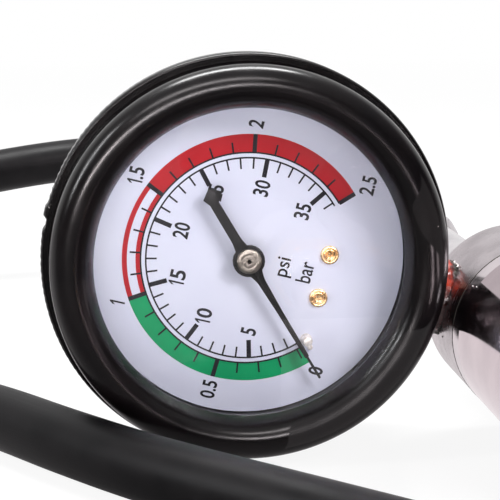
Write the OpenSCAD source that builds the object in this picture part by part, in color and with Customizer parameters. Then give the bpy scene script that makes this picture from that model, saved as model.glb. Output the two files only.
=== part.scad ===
// Radiator pressure tester: a hand pump with a booted pressure gauge screwed into its head,
// a hose from the back of the head and a quick coupler on the hose's end.
// It lies on a table on the gauge's boot, one end of the T handle and the release valve.
// Lengths are in millimetres. Names that end in _h are heights above the dial's face,
// measured along the gauge's axis towards the reader; the pump's axis runs the same way.

/* [Gauge case] */
// Diameter of the gauge case
case_d = 63; // [60:1:66]
// Thickness of the case's sheet steel
case_wall = 0.9; // [0.7:0.1:1.1]
// Depth of the case behind the dial's face
case_depth = 21; // [20:0.5:26]
// Thickness of the dial plate
dial_t = 0.6; // [0.4:0.1:0.8]
// Thickness of the lens
lens_t = 1.6; // [1.2:0.1:2]
// Height of the lens's back above the dial
lens_h = 3.7; // [3.6:0.1:4.4]
// Thickness of the gasket under the lens
gasket_t = 1; // [0.8:0.1:1.4]
// Thickness of the bezel's sheet steel
bezel_t = 0.6; // [0.4:0.1:0.8]

/* [Boot] */
// Thickness of the boot's rubber at its widest rim
boot_wall = 7.9; // [7:0.1:9]
// Radius of the rounded roll round the boot's front
roll_r = 4.1; // [3.8:0.1:4.5]
// How far the roll stands inside the widest rim
roll_inset = 1.7; // [1:0.1:2.5]
// Width of the widest rim
rim_w = 4.4; // [3:0.1:6]
// Height of the middle of the widest rim
rim_h = -1.4; // [-3:0.1:0]
// Diameter of the window in the boot
window_d = 59; // [57:0.5:60]
// Thickness of the boot's back wall
boot_back_t = 2.7; // [2:0.1:4]
// Diameter of the opening in the boot's back
boot_back_d = 50; // [46:1:54]

/* [Pointer and movement] */
// Length of the pointer from its hub to its tip
pointer_len = 25.5; // [23:0.5:27]
// Length of the pointer's tail
tail_len = 16; // [12:0.5:18]
// Thickness of the pointer
pointer_t = 0.5; // [0.4:0.1:0.6]
// Diameter of the pointer's hub
pointer_hub_d = 6.2; // [5:0.1:7]
// Diameter of the cap on the pointer's hub
pointer_cap_d = 4.9; // [4:0.1:5]
// Height of the cap on the pointer's hub
pointer_cap_t = 0.8; // [0.5:0.1:0.9]
// Module of the movement's teeth
gear_module = 0.2; // [0.19:0.005:0.21]
// Teeth on the pinion
pinion_teeth = 12; // [11:1:13]
// Teeth that the sector would have on a full circle
sector_teeth = 120; // [114:2:126]
// Diameter of the movement's arbors
arbor_d = 1.2; // [1:0.1:1.3]
// Distance between the movement's two plates
plate_gap = 5.6; // [5.4:0.1:6]
// Thickness of the movement's plates
plate_t = 1; // [0.8:0.1:1.2]
// Distance of the dial's two screws from each other
dial_screw_gap = 8.66; // [8:0.01:9]
// Distance of the dial's two screws below the dial's centre
dial_screw_drop = 15.3; // [14.5:0.1:16]
// Mean radius of the pressure tube's bend
tube_bend_r = 20.5; // [19.5:0.1:21]
// Thickness of the pressure tube across its flats
tube_t = 2.2; // [1.8:0.1:2.6]
// Height of the pressure tube's section
tube_w = 7; // [6:0.1:7.5]

/* [Stem] */
// Diameter of the threaded stem
stem_d = 13; // [12:0.5:13.5]
// Height of the stem's axis, behind the dial
stem_h = -8; // [-9:0.1:-7.8]
// Gap between the boot and the pump's head
stem_gap = 1.3; // [1:0.1:4]
// Pitch of the stem's thread
thread_pitch = 1.34; // [1:0.01:1.6]
// Depth of the stem's port in the head
port_depth = 9; // [8:0.5:9.5]

/* [Pump] */
// Outer diameter of the pump's head and barrel
pump_d = 35; // [34:1:40]
// Thickness of the barrel's wall
barrel_wall = 1.5; // [1:0.1:2]
// Length of the barrel
barrel_len = 165; // [120:1:200]
// Height of the seam between the head and the barrel
seam_h = 6.8; // [5:0.1:8]
// Height of the head's back face
head_back_h = -17; // [-20:0.5:-16.5]
// Radius of the head's rounded back edge
head_round = 2.5; // [1:0.1:4]
// Length of the head's spigot inside the barrel
spigot_len = 9; // [8:0.5:12]
// Thickness of the seal ring between the head and the barrel
barrel_seal_d = 1.8; // [1.5:0.1:2.2]
// Length of the barrel cap outside the barrel
cap_len = 14; // [10:0.5:20]
// Diameter of the barrel cap
cap_d = 37; // [36:0.5:42]
// Diameter of the piston rod
rod_d = 8; // [7:0.5:10]
// Diameter of the rod's threaded end in the piston
rod_end_d = 6; // [5:0.5:6.5]
// Thickness of the piston
piston_t = 7.8; // [6:0.1:10]
// Wall of the cup seal
cup_wall = 1.6; // [1.2:0.1:2.4]
// Gap between the piston's nut and the head's spigot
piston_rest_gap = 1.5; // [1:0.1:3]

/* [Handle] */
// Diameter of the T handle at its ends and its middle
grip_d = 28; // [25:0.5:31]
// Diameter of the T handle's two waists
waist_d = 22; // [18:0.5:25]
// Distance from the rod's axis to the centre of each round end
grip_half = 44; // [38:0.5:50]
// Diameter of the neck below the handle
neck_d = 19; // [16:0.5:22]
// Gap between the rod bush and the handle's neck
handle_gap = 1.5; // [1:0.5:6]
// Length of the handle's neck, to the middle of the grip
neck_len = 16; // [14.5:0.5:20]

/* [Valves] */
// Angle of the release valve below the line from the gauge through the pump
valve_angle = 30; // [25:1:40]
// Diameter of the release valve's barrel
valve_d = 11; // [10:0.5:12]
// Diameter of the release valve's button
valve_button_d = 5.6; // [5:0.1:6]
// How far the button stands out of the valve
button_stand = 1.8; // [1.6:0.1:2]
// Travel of the button
button_travel = 1.5; // [1:0.1:1.6]
// Diameter of the check valve's ball
ball_d = 5; // [4.5:0.1:5.5]
// Diameter of the check valve's seat
seat_d = 3.2; // [2.6:0.1:3.6]

/* [Hose] */
// Outer diameter of the hose
hose_d = 12.5; // [11:0.5:12.5]
// Diameter of the long nipple behind the head
nipple_d = 11.6; // [11:0.1:12]
// Length of the nipple between its hexagon and the crimped ferrule
nipple_len = 61; // [30:1:64]
// Diameter of the crimped ferrules
ferrule_d = 15; // [14.5:0.5:17]
// Length of the crimped ferrules
ferrule_len = 22; // [18:1:28]

/* [Quick coupler] */
// Diameter of the socket that an adapter's plug goes into
socket_d = 12.2; // [12:0.1:12.4]
// Depth of the socket
socket_depth = 13; // [12.5:0.5:16]
// Length of the socket's guide in front of the locking balls
guide_len = 5; // [4:0.1:5]
// Outer diameter of the coupler's sleeve
sleeve_d = 24; // [23:0.5:26]
// Length of the coupler's sleeve
sleeve_len = 26; // [24:0.5:30]
// How far the sleeve slides back
sleeve_travel = 4; // [3:0.5:5]
// Diameter of the locking balls
lock_ball_d = 3; // [2.6:0.1:3.2]
// Number of locking balls
lock_balls = 6; // [4:1:6]

/* [Hidden] */
$fn = 64;
fit = 0.05;
press = 0.02;
through = 1;

// Gauge
case_r = case_d / 2;
case_in_r = case_r - case_wall;
case_back_h = -case_depth;
case_rim_h = lens_h - gasket_t;
lens_front_h = lens_h + lens_t;
bezel_front_h = lens_front_h + bezel_t;
bezel_r = case_r + bezel_t + fit;
window_r = window_d / 2;
boot_r = case_r + boot_wall;
boot_in_r = bezel_r + fit;
roll_centre_r = boot_r - roll_inset - roll_r;
roll_centre_h = bezel_front_h + 0.8;
boot_lip_h = bezel_front_h + fit;
boot_skirt_r = boot_r - 1.6;
boot_foot_r = boot_r - 3.2;
boot_back_h = case_back_h - 1 - boot_back_t;
stem_r = stem_d / 2;
bezel_skirt_h = stem_h + stem_r + 0.2;

// Movement
pinion_r = gear_module * pinion_teeth / 2;
sector_r = gear_module * sector_teeth / 2;
gear_distance = pinion_r + sector_r;
full_turn = 270;
sector_turn = full_turn * pinion_teeth / sector_teeth;
arbor_r = arbor_d / 2;
top_plate_h = -dial_t - 1;
base_plate_h = top_plate_h - 2 * plate_t - plate_gap;
sector_h = base_plate_h + plate_t + 1;
sector_t = 1;
link_t = 0.6;
link_h = sector_h + sector_t + fit;
pinion_len = 1.4;
hairspring_h = link_h + link_t + 1.1;
hairspring_w = 0.8;
plate_half_x = 10;
plate_top_y = 9;
base_plate_y = -24;
top_plate_y = -18;
pillar_r = 1.3;
pillar_places = [[7.5, 6.5], [-7.5, 6.5], [7.5, -15.5], [-7.5, -15.5]];
movement_screw_places = [[4.5, -20.5], [-4.5, -20.5]];
socket_half_x = 7;
socket_low_y = -27;
socket_high_y = -15;
socket_start_y = -24.6;
tube_start = asin(socket_half_x / (tube_bend_r - tube_t / 2)) - 89.8;
tube_end = 203;
tube_top_h = base_plate_h - 1.3;
tip_pin = 20 * [cos(207), sin(207)];
tip_pin_r = 0.35;
tail_r = 4.5;
tail_angle = 150;
tail_pin_r = 0.4;
sector_pivot = [0, -gear_distance];
tail_start = sector_pivot + tail_r * [cos(tail_angle), sin(tail_angle)];
link_reach = norm(tip_pin - tail_start);
link_angle = atan2(tip_pin[1] - tail_start[1], tip_pin[0] - tail_start[0]);
pointer_h = 2;
pointer_rest = 135;
pointer_half_w = 0.8;
stop_pin_r = 1;
stop_pin_at_r = 19.5;

// Pump
pump_r = pump_d / 2;
centre_distance = boot_r + stem_gap + pump_r;
grip_r = grip_d / 2;
lean = asin((boot_r - grip_r) / (centre_distance + grip_half));
pump_x = centre_distance * cos(lean);
pump_z = boot_r - centre_distance * sin(lean);
barrel_r = pump_r - barrel_wall;
seam_edge = 0.25;
spigot_h = seam_h + spigot_len;
barrel_end_h = seam_h + barrel_len;
cap_end_h = barrel_end_h + cap_len;
cap_spigot_len = 12;
bush_flange = 1.5;
bush_r = rod_d / 2 + 1.6;
rod_r = rod_d / 2;
rod_end_r = rod_end_d / 2;
nut_h = spigot_h + piston_rest_gap;
nut_t = 3.5;
nut_flats = 10;
washer_t = 1.2;
cup_base_t = 2;
cup_skirt = 4;
washer_h = nut_h + nut_t;
cup_h = washer_h + washer_t + fit;
piston_h = cup_h + cup_base_t + fit;
piston_end_h = piston_h + piston_t;
handle_h = cap_end_h + bush_flange + handle_gap + neck_len;
rod_top_h = handle_h + 4;
port_end_r = pump_r - port_depth;
chamber_r = ball_d / 2 + 1.1;
nipple_thread_r = 5;
nipple_thread_len = 7.5;
seat_h = 1.5;
check_ball_h = seat_h - sqrt(pow(ball_d / 2, 2) - pow(seat_d / 2, 2)) - press;

// Release valve: its rim stands on the table
valve_r = valve_d / 2;
valve_slope = lean + valve_angle;
valve_end = (pump_z - valve_r * cos(valve_slope)) / sin(valve_slope);
valve_thread_r = 4;
valve_hex = 12;
valve_seat = pump_r - 0.5;
valve_hex_t = 4;
valve_inner = pump_r - 7;
valve_port = pump_r - 9.2;
button_r = valve_button_d / 2;
button_len = 6;
button_bore = 8;
valve_pin_r = 1.2;
valve_seal_r = 2.3;
valve_seal_t = 1.6;
valve_chamber = 2.5;

// Hose and coupler
hose_r = hose_d / 2;
nipple_r = nipple_d / 2;
hose_neck_r = nipple_r - 1;
nipple_hex = 14;
nipple_hex_t = 7;
hose_in = 15;
nipple_end_h = head_back_h - nipple_hex_t - nipple_len - (ferrule_len - hose_in);
ferrule_end_h = nipple_end_h - hose_in;
ferrule_r = ferrule_d / 2;
sleeve_r = sleeve_d / 2;
coupler_x = 29;
coupler_tail_h = 120;
coupler_hex_t = 10;
coupler_hex = 18;
coupler_shoulder_h = coupler_tail_h + coupler_hex_t;
sleeve_h = coupler_shoulder_h + sleeve_travel + 1;
sleeve_front_h = sleeve_h + sleeve_len;
mouth_h = sleeve_front_h + 1.5;
socket_r = socket_d / 2;
chamber_wide_r = socket_r + 0.2;
lock_ball_r = lock_ball_d / 2;
lock_ball_h = mouth_h - 6.6;
lock_ball_at_r = socket_r - 0.7 + lock_ball_r;
nose_r = lock_ball_at_r + lock_ball_r - 0.1;
ridge_r = lock_ball_at_r + lock_ball_r + fit;
ring_r = ridge_r + 0.8;
coupler_bore_r = 3;
spring_wire_r = 0.45;

// Route of the hose's middle line: x and y from the gauge's axis and the dial's face,
// z above the table. It leaves the ferrule behind the head, arches to the left, comes
// down, turns back along the table and rises into the coupler.
HOSE_ROUTE = [
    [pump_x, -nipple_end_h, pump_z], [pump_x, -ferrule_end_h + 4, pump_z],
    [54, 130, 26], [46, 150, 29], [32, 167, 32], [14, 179, 34], [-6, 185, 35],
    [-27, 186, 35], [-48, 183, 33], [-68, 176, 30], [-86, 165, 26], [-100, 150, 21],
    [-109, 132, 15], [-112, 113, 10], [-109, 94, 7], [-101, 76, 6.3], [-90, 60, 6.3],
    [-76, 43, 6.3], [-62, 26, 6.3], [-48, 10, 6.3], [-36, -6, 6.3], [-24, -21, 6.3],
    [-13, -33, 6.3], [-1, -45, 6.3], [11, -58, 6.6], [21, -73, 8], [27, -88, 10],
    [coupler_x, -coupler_tail_h + hose_in, sleeve_r], [coupler_x, -coupler_tail_h, sleeve_r]
];

// The model's middle, left without the hose and what is on it
origin_x = (pump_x + grip_half * cos(lean) + grip_r - boot_r) / 2;
origin_y = (-nipple_end_h - handle_h - grip_r) / 2;

function hex_r(flats) = flats / 2 / cos(30);

module table_at() {
    translate([-origin_x, -origin_y, 0]) children();
}

// Leans the tester over until the boot and the handle's end are on the table
module lying() {
    table_at() translate([0, 0, boot_r]) rotate([0, lean, 0]) children();
}

// Dial's frame: x to the dial's right, y up the dial, z towards the reader
module gauge_at() {
    lying() rotate([0, -90, 0]) rotate([90, 0, 0]) children();
}

// Pump's frame: x away from the gauge, z along the pump towards the handle
module pump_at() {
    lying() translate([centre_distance, 0, 0]) rotate([90, 0, 0]) children();
}

// Valve's frame: z out of the head along the release valve
module valve_at() {
    pump_at() translate([0, 0, stem_h]) rotate([0, 0, -valve_angle])
        rotate([0, 90, 0]) children();
}

// Coupler's frame: z along the coupler towards its mouth
module coupler_at() {
    table_at() translate([coupler_x, 0, sleeve_r]) rotate([90, 0, 0]) children();
}

module tube_ring(in_r, out_r, from, to) {
    rotate_extrude() translate([in_r, from]) square([out_r - in_r, to - from]);
}

module rod_along(r, from, to) {
    translate([0, 0, from]) cylinder(r = r, h = to - from);
}

module hex_along(flats, from, to) {
    translate([0, 0, from]) cylinder(r = hex_r(flats), h = to - from, $fn = 6);
}

module torus(r, section_r, h) {
    translate([0, 0, h]) rotate_extrude() translate([r, 0]) circle(section_r, $fn = 32);
}

// Joins rings of points into one closed skin
module skin(rings) {
    sides = len(rings[0]);
    last = len(rings) - 1;
    sides_of_skin = [for (i = [0:last - 1], j = [0:sides - 1])
        let (k = (j + 1) % sides)
        [i * sides + j, i * sides + k, (i + 1) * sides + k, (i + 1) * sides + j]];
    first_end = [for (j = [sides - 1:-1:0]) j];
    last_end = [for (j = [0:sides - 1]) last * sides + j];
    polyhedron(
        points = [for (ring = rings) each ring],
        faces = concat(sides_of_skin, [first_end], [last_end]),
        convexity = 6
    );
}

module coil_spring(r, wire_r, length, turns, steps_per_turn = 12) {
    steps = round(turns * steps_per_turn);
    skin([for (i = [0:steps])
        let (a = 360 * turns * i / steps, z = wire_r + (length - 2 * wire_r) * i / steps)
        [for (j = [0:5]) let (b = -60 * j, out = r + wire_r * cos(b))
            [out * cos(a), out * sin(a), z + wire_r * sin(b)]]]);
}

module thread(r, depth, from, length) {
    turns = floor(length / thread_pitch);
    rotate_extrude() polygon(concat(
        [[0, from]],
        [for (i = [0:turns - 1]) each [
            [r - depth, from + i * thread_pitch],
            [r, from + (i + 0.5) * thread_pitch]]],
        [[r - depth, from + turns * thread_pitch], [0, from + turns * thread_pitch]]
    ));
}

// Outline of one gear tooth, as angles either side of its middle
function tooth(middle, root_r, tip_r, root_half, tip_half) = [
    for (p = [[root_r, -root_half], [tip_r, -tip_half], [tip_r, tip_half], [root_r, root_half]])
        p[0] * [cos(middle + p[1]), sin(middle + p[1])]
];

module rubber_boot() {
    color([0.06, 0.06, 0.065]) gauge_at() difference() {
        union() {
            torus(roll_centre_r, roll_r, roll_centre_h);
            rod_along(roll_centre_r, case_back_h + 4, roll_centre_h);
            rod_along(boot_skirt_r - 1.1, rim_h, roll_centre_h);
            rod_along(boot_r - 0.8, rim_h - rim_w / 2, rim_h + rim_w / 2);
            rod_along(boot_r, rim_h - rim_w / 2 + 0.8, rim_h + rim_w / 2 - 0.8);
            translate([0, 0, boot_back_h + 2])
                cylinder(r1 = boot_foot_r, r2 = boot_skirt_r, h = rim_h - boot_back_h - 2);
            translate([0, 0, boot_back_h])
                cylinder(r1 = boot_foot_r - 2, r2 = boot_foot_r, h = 2);
            translate([0, 0, boot_lip_h])
                cylinder(r1 = roll_centre_r, r2 = roll_centre_r - roll_r / 2,
                    h = roll_centre_h + roll_r * 0.8 - boot_lip_h);
        }
        rod_along(case_r + fit, case_back_h - fit, boot_lip_h - 2);
        rod_along(boot_in_r, bezel_skirt_h - 0.3, boot_lip_h);
        rod_along(window_r, boot_lip_h - through, roll_centre_h + roll_r);
        translate([0, 0, boot_lip_h + 0.4])
            cylinder(r1 = window_r, r2 = window_r + 3.2, h = roll_r + 1.2);
        rod_along(boot_back_d / 2, boot_back_h - through, case_back_h);
        translate([0, 0, stem_h]) rotate([90, 0, 0]) rod_along(stem_r + fit, case_r - 3, boot_r + 2);
    }
}

module gauge_case() {
    color([0.12, 0.12, 0.13]) gauge_at() difference() {
        rod_along(case_r, case_back_h, case_rim_h);
        rod_along(case_in_r, case_back_h + case_wall, case_rim_h + through);
        translate([0, 0, stem_h]) rotate([90, 0, 0]) rod_along(stem_r + press, case_in_r - 4, boot_r);
        translate([0, 12, 0]) rod_along(3, case_back_h - through, case_back_h + 2);
        for (p = movement_screw_places)
            translate(p) rod_along(1.55, case_back_h - through, case_back_h + 2);
    }
}

module blowout_plug() {
    color([0.15, 0.15, 0.15]) gauge_at() translate([0, 12, 0]) {
        rod_along(3 - press, case_back_h, case_back_h + case_wall);
        rod_along(4.2, case_back_h - 0.9, case_back_h);
        rod_along(3.8, case_back_h + case_wall, case_back_h + case_wall + 0.8);
    }
}

module case_screws() {
    color([0.75, 0.75, 0.78]) gauge_at() for (p = movement_screw_places) translate(p)
        difference() {
            union() {
                rod_along(1.5, case_back_h, case_back_h + case_wall + 4);
                rod_along(2.7, case_back_h - 0.9, case_back_h);
            }
            translate([-3, -0.35, case_back_h - 1]) cube([6, 0.7, 0.6]);
        }
}

module bezel_ring() {
    color([0.1, 0.1, 0.1]) gauge_at() {
        tube_ring(case_r + fit, bezel_r, bezel_skirt_h, bezel_front_h);
        tube_ring(window_r + 0.1, case_r + 2 * fit, lens_front_h, bezel_front_h);
    }
}

module gauge_lens() {
    color([0.8, 0.88, 0.92, 0.3]) gauge_at() rod_along(case_r - fit, lens_h, lens_front_h);
}

module lens_gasket() {
    color([0.08, 0.08, 0.08]) gauge_at()
        tube_ring(case_in_r - 0.6, case_r - fit, case_rim_h, lens_h);
}

module dial_plate() {
    color([0.92, 0.93, 0.96]) gauge_at() difference() {
        rod_along(case_in_r - 0.3, -dial_t, 0);
        rod_along(1.7, -dial_t - through, through);
        for (side = [-1, 1]) translate([side * dial_screw_gap / 2, -dial_screw_drop])
            rod_along(1, -dial_t - through, through);
        stop_pin_place() rod_along(0.6 + press, -dial_t - through, through);
    }
}

module dial_screws() {
    color([0.85, 0.66, 0.3]) gauge_at() for (side = [-1, 1])
        translate([side * dial_screw_gap / 2, -dial_screw_drop]) difference() {
            union() {
                rod_along(0.95, top_plate_h - plate_t, 0);
                rod_along(1.65, 0, 0.7);
            }
            for (turn = [20, 110]) rotate([0, 0, turn])
                translate([-1.1, -0.18, 0.35]) cube([2.2, 0.36, 1]);
        }
}

// Just past the pointer's resting place, seen from the hub
module stop_pin_place() {
    rotate([0, 0, pointer_rest])
        translate([-(pointer_half_w + stop_pin_r + 0.1), stop_pin_at_r]) children();
}

module stop_pin() {
    color([0.85, 0.85, 0.87]) gauge_at() stop_pin_place() {
        rod_along(0.6, -dial_t, 0);
        rod_along(stop_pin_r, 0, pointer_h + pointer_t + 0.2);
    }
}

module pointer() {
    step_r = pointer_len - 3;
    color([0.04, 0.04, 0.04]) gauge_at() rotate([0, 0, pointer_rest]) difference() {
        union() {
            translate([0, 0, pointer_h]) linear_extrude(pointer_t) polygon([
                [-0.15, pointer_len], [0.15, pointer_len], [0.45, step_r], [0.7, step_r - 0.1],
                [pointer_half_w, 0], [1.05, -tail_len + 3.4], [1.7, -tail_len + 2.6],
                [1.7, -tail_len + 0.8], [1, -tail_len], [-1, -tail_len],
                [-1.7, -tail_len + 0.8], [-1.7, -tail_len + 2.6], [-1.05, -tail_len + 3.4],
                [-pointer_half_w, 0], [-0.7, step_r - 0.1], [-0.45, step_r]
            ]);
            rod_along(pointer_hub_d / 2, pointer_h, pointer_h + pointer_t);
            rod_along(1.5, pointer_h - 0.8, pointer_h);
        }
        rod_along(arbor_r, pointer_h - 2, pointer_h + 2);
    }
}

module pointer_cap() {
    color([0.6, 0.58, 0.56]) gauge_at()
        rod_along(pointer_cap_d / 2, pointer_h + pointer_t, pointer_h + pointer_t + pointer_cap_t);
}

module pinion() {
    step = 360 / pinion_teeth;
    color([0.8, 0.65, 0.35]) gauge_at() {
        rod_along(arbor_r, base_plate_h + 0.1, pointer_h + pointer_t);
        translate([0, 0, sector_h - 0.2]) linear_extrude(pinion_len) polygon([
            for (i = [0:pinion_teeth - 1]) each tooth(
                -90 + (i + 0.5) * step, pinion_r - 1.15 * gear_module,
                pinion_r + 0.8 * gear_module, 8, 3.5)
        ]);
        rod_along(0.95, hairspring_h - 0.1, hairspring_h + hairspring_w + 0.1);
    }
}

module hairspring() {
    turns = 5;
    steps = turns * 18;
    inner_r = 1.15;
    grow = 4.6;
    half = 0.11;
    function spiral(side) = [for (i = [0:steps])
        let (r = inner_r + half + grow * i / steps + side * half, a = 360 * turns * i / steps)
        r * [cos(a), sin(a)]];
    inner_side = spiral(-1);
    color([0.7, 0.6, 0.4]) gauge_at() translate([0, 0, hairspring_h])
        linear_extrude(hairspring_w)
            polygon(concat(spiral(1), [for (i = [steps:-1:0]) inner_side[i]]));
}

module sector_gear() {
    step = 360 / sector_teeth;
    before = floor((sector_turn + 5) / step);
    after = 2;
    root_r = sector_r - 1.15 * gear_module;
    color([0.82, 0.68, 0.38]) gauge_at() translate(sector_pivot) {
        translate([0, 0, sector_h]) linear_extrude(sector_t) {
            polygon(concat(
                [[-1, 0]], [0.9 * [-1, -1]], [[1.6, 0]],
                [for (i = [-before:after]) each tooth(
                    90 + i * step, root_r, sector_r + 0.8 * gear_module, 0.85, 0.35)]
            ));
            circle(1.7);
            rotate(tail_angle) {
                translate([0, -0.7]) square([tail_r, 1.4]);
                translate([tail_r, 0]) circle(1);
            }
        }
        rod_along(arbor_r, base_plate_h + 0.1, top_plate_h);
        rotate([0, 0, tail_angle]) translate([tail_r, 0, 0])
            rod_along(tail_pin_r, sector_h + sector_t / 2, link_h + link_t + 0.3);
    }
}

module link() {
    slot = 0.45;
    color([0.8, 0.68, 0.4]) gauge_at() translate([tail_start[0], tail_start[1], link_h])
        rotate([0, 0, link_angle]) difference() {
            union() {
                translate([0, -0.7, 0]) cube([link_reach, 1.4, link_t]);
                cylinder(r = 1, h = link_t);
                translate([link_reach - 0.6, -1.1, 0]) cube([1.2, 2.2, link_t]);
                translate([link_reach - 0.6, 0, 0]) cylinder(r = 1.1, h = link_t);
                translate([link_reach + 0.6, 0, 0]) cylinder(r = 1.1, h = link_t);
            }
            translate([0, 0, -through]) cylinder(r = tail_pin_r + fit, h = link_t + 2 * through);
            for (side = [-1, 1]) translate([link_reach + side * slot, 0, -through])
                cylinder(r = tip_pin_r + 0.1, h = link_t + 2 * through);
            translate([link_reach - slot, -tip_pin_r - 0.1, -through])
                cube([2 * slot, 2 * tip_pin_r + 0.2, link_t + 2 * through]);
        }
}

module movement_plate(low_y, h) {
    difference() {
        translate([-plate_half_x, low_y, h]) cube([2 * plate_half_x, plate_top_y - low_y, plate_t]);
        rod_along(arbor_r + fit, h - through, h + plate_t + through);
        translate(sector_pivot) rod_along(arbor_r + fit, h - through, h + plate_t + through);
        for (p = pillar_places) translate(p) rod_along(0.7, h - through, h + plate_t + through);
    }
}

module base_plate() {
    color([0.83, 0.69, 0.4]) gauge_at() difference() {
        movement_plate(base_plate_y, base_plate_h);
        for (p = movement_screw_places) translate(p)
            rod_along(1.05, base_plate_h - through, base_plate_h + plate_t + through);
    }
}

module top_plate() {
    color([0.83, 0.69, 0.4]) gauge_at() difference() {
        union() {
            movement_plate(top_plate_y, top_plate_h - plate_t);
            for (side = [-1, 1]) translate([side * dial_screw_gap / 2, -dial_screw_drop])
                rod_along(2.3, top_plate_h - plate_t, -dial_t);
        }
        for (side = [-1, 1]) translate([side * dial_screw_gap / 2, -dial_screw_drop])
            rod_along(0.95 + press, top_plate_h - plate_t - through, 0);
    }
}

module movement_pillars() {
    color([0.8, 0.66, 0.36]) gauge_at() for (p = pillar_places) translate(p) {
        rod_along(pillar_r, base_plate_h + plate_t, top_plate_h - plate_t);
        rod_along(0.7 - press, base_plate_h, top_plate_h);
    }
}

module movement_screws() {
    color([0.78, 0.78, 0.8]) gauge_at() for (p = movement_screw_places) translate(p)
        difference() {
            union() {
                rod_along(1, base_plate_h - 4.5, base_plate_h + plate_t);
                rod_along(1.7, base_plate_h + plate_t, base_plate_h + plate_t + 1);
            }
            translate([-2, -0.25, base_plate_h + plate_t + 0.5]) cube([4, 0.5, 1]);
        }
}

module tube_section(wall) {
    half = tube_t / 2 - wall;
    straight = tube_w / 2 - tube_t / 2;
    square([2 * half, 2 * straight], center = true);
    for (side = [-1, 1]) translate([0, side * straight]) circle(half, $fn = 24);
}

module bourdon_tube() {
    color([0.78, 0.6, 0.32]) gauge_at() translate([0, 0, tube_top_h - tube_w / 2])
        rotate([0, 0, tube_start]) rotate_extrude(angle = tube_end - tube_start, $fn = 96)
            translate([tube_bend_r, 0]) difference() {
                tube_section(0);
                tube_section(0.35);
            }
}

module tube_tip() {
    tip_len = 3;
    color([0.8, 0.65, 0.35]) gauge_at() {
        rotate([0, 0, tube_end]) translate([tube_bend_r - tube_t / 2 - 0.4, 0, tube_top_h - tube_w])
            cube([tube_t + 0.8, tip_len, tube_w]);
        translate(tip_pin) rod_along(tip_pin_r, tube_top_h - 1, link_h + link_t + 0.3);
    }
}

module gauge_socket() {
    reach = boot_r + stem_gap + port_depth - 0.3;
    threaded = port_depth + stem_gap - 0.8;
    color([0.8, 0.66, 0.38]) gauge_at() difference() {
        union() {
            translate([-socket_half_x, socket_low_y, case_back_h + case_wall])
                cube([2 * socket_half_x, socket_high_y - socket_low_y,
                    base_plate_h - case_back_h - case_wall]);
            translate([0, 0, stem_h]) rotate([90, 0, 0]) {
                rod_along(stem_r, -socket_start_y, reach - threaded);
                thread(stem_r, 0.55, reach - threaded, threaded);
            }
        }
        translate([0, 0, stem_h - 3]) rotate([90, 0, 0]) rod_along(1.2, -socket_high_y - 5, reach + 1);
        for (p = movement_screw_places) translate(p) {
            rod_along(1 + press, base_plate_h - 4.6, base_plate_h + through);
            rod_along(1.5 + press, case_back_h, case_back_h + case_wall + 4.1);
        }
    }
}

module thread_sealant() {
    color([0.8, 0.2, 0.08]) lying() difference() {
        translate([0, -stem_h, 0]) rotate([0, 90, 0])
            tube_ring(stem_r + press, stem_r + 1.1, boot_r + 0.1, boot_r + stem_gap + 2.6);
        translate([centre_distance, 0, 0]) rotate([90, 0, 0])
            rod_along(pump_r + press, head_back_h - 20, seam_h + 20);
    }
}

module pump_head() {
    seal_h = spigot_h - 3;
    groove_r = barrel_r - barrel_seal_d - press;
    spigot_r = barrel_r - fit;
    back_edge = [for (a = [-90:15:0]) head_round * [cos(a), sin(a)]
        + [pump_r - head_round, head_back_h + head_round]];
    color([0.8, 0.8, 0.82]) pump_at() difference() {
        rotate_extrude() polygon(concat([[0, head_back_h]], back_edge, [
            [pump_r, seam_h - seam_edge], [pump_r - seam_edge, seam_h], [spigot_r, seam_h],
            [spigot_r, seal_h - 1.2], [groove_r, seal_h - 1.2], [groove_r, seal_h + 1.2],
            [spigot_r, seal_h + 1.2], [spigot_r, spigot_h], [0, spigot_h]
        ]));
        rod_along(seat_d / 2, 0, spigot_h + through);
        rod_along(chamber_r, head_back_h, seat_h);
        rod_along(nipple_thread_r + press, head_back_h - through, head_back_h + nipple_thread_len + 0.3);
        translate([0, 0, stem_h]) {
            rotate([0, -90, 0]) rod_along(stem_r + press, port_end_r, pump_r + 2);
            rotate([0, -90, 0]) rod_along(1.5, 1, pump_r);
            rotate([0, 0, -valve_angle]) rotate([0, 90, 0]) {
                rod_along(1.5, 1, pump_r);
                rod_along(valve_thread_r + press, valve_port, pump_r + 2);
                rod_along(hex_r(valve_hex) + 0.3, valve_seat, pump_r + 3);
            }
        }
    }
}

module pump_barrel() {
    color([0.84, 0.84, 0.86]) pump_at() rotate_extrude() polygon([
        [barrel_r, seam_h], [pump_r - seam_edge, seam_h], [pump_r, seam_h + seam_edge],
        [pump_r, barrel_end_h - seam_edge], [pump_r - seam_edge, barrel_end_h],
        [barrel_r, barrel_end_h]
    ]);
}

module barrel_seal() {
    color([0.05, 0.05, 0.05]) pump_at()
        torus(barrel_r - barrel_seal_d / 2 - fit, barrel_seal_d / 2 - fit, spigot_h - 3);
}

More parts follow.
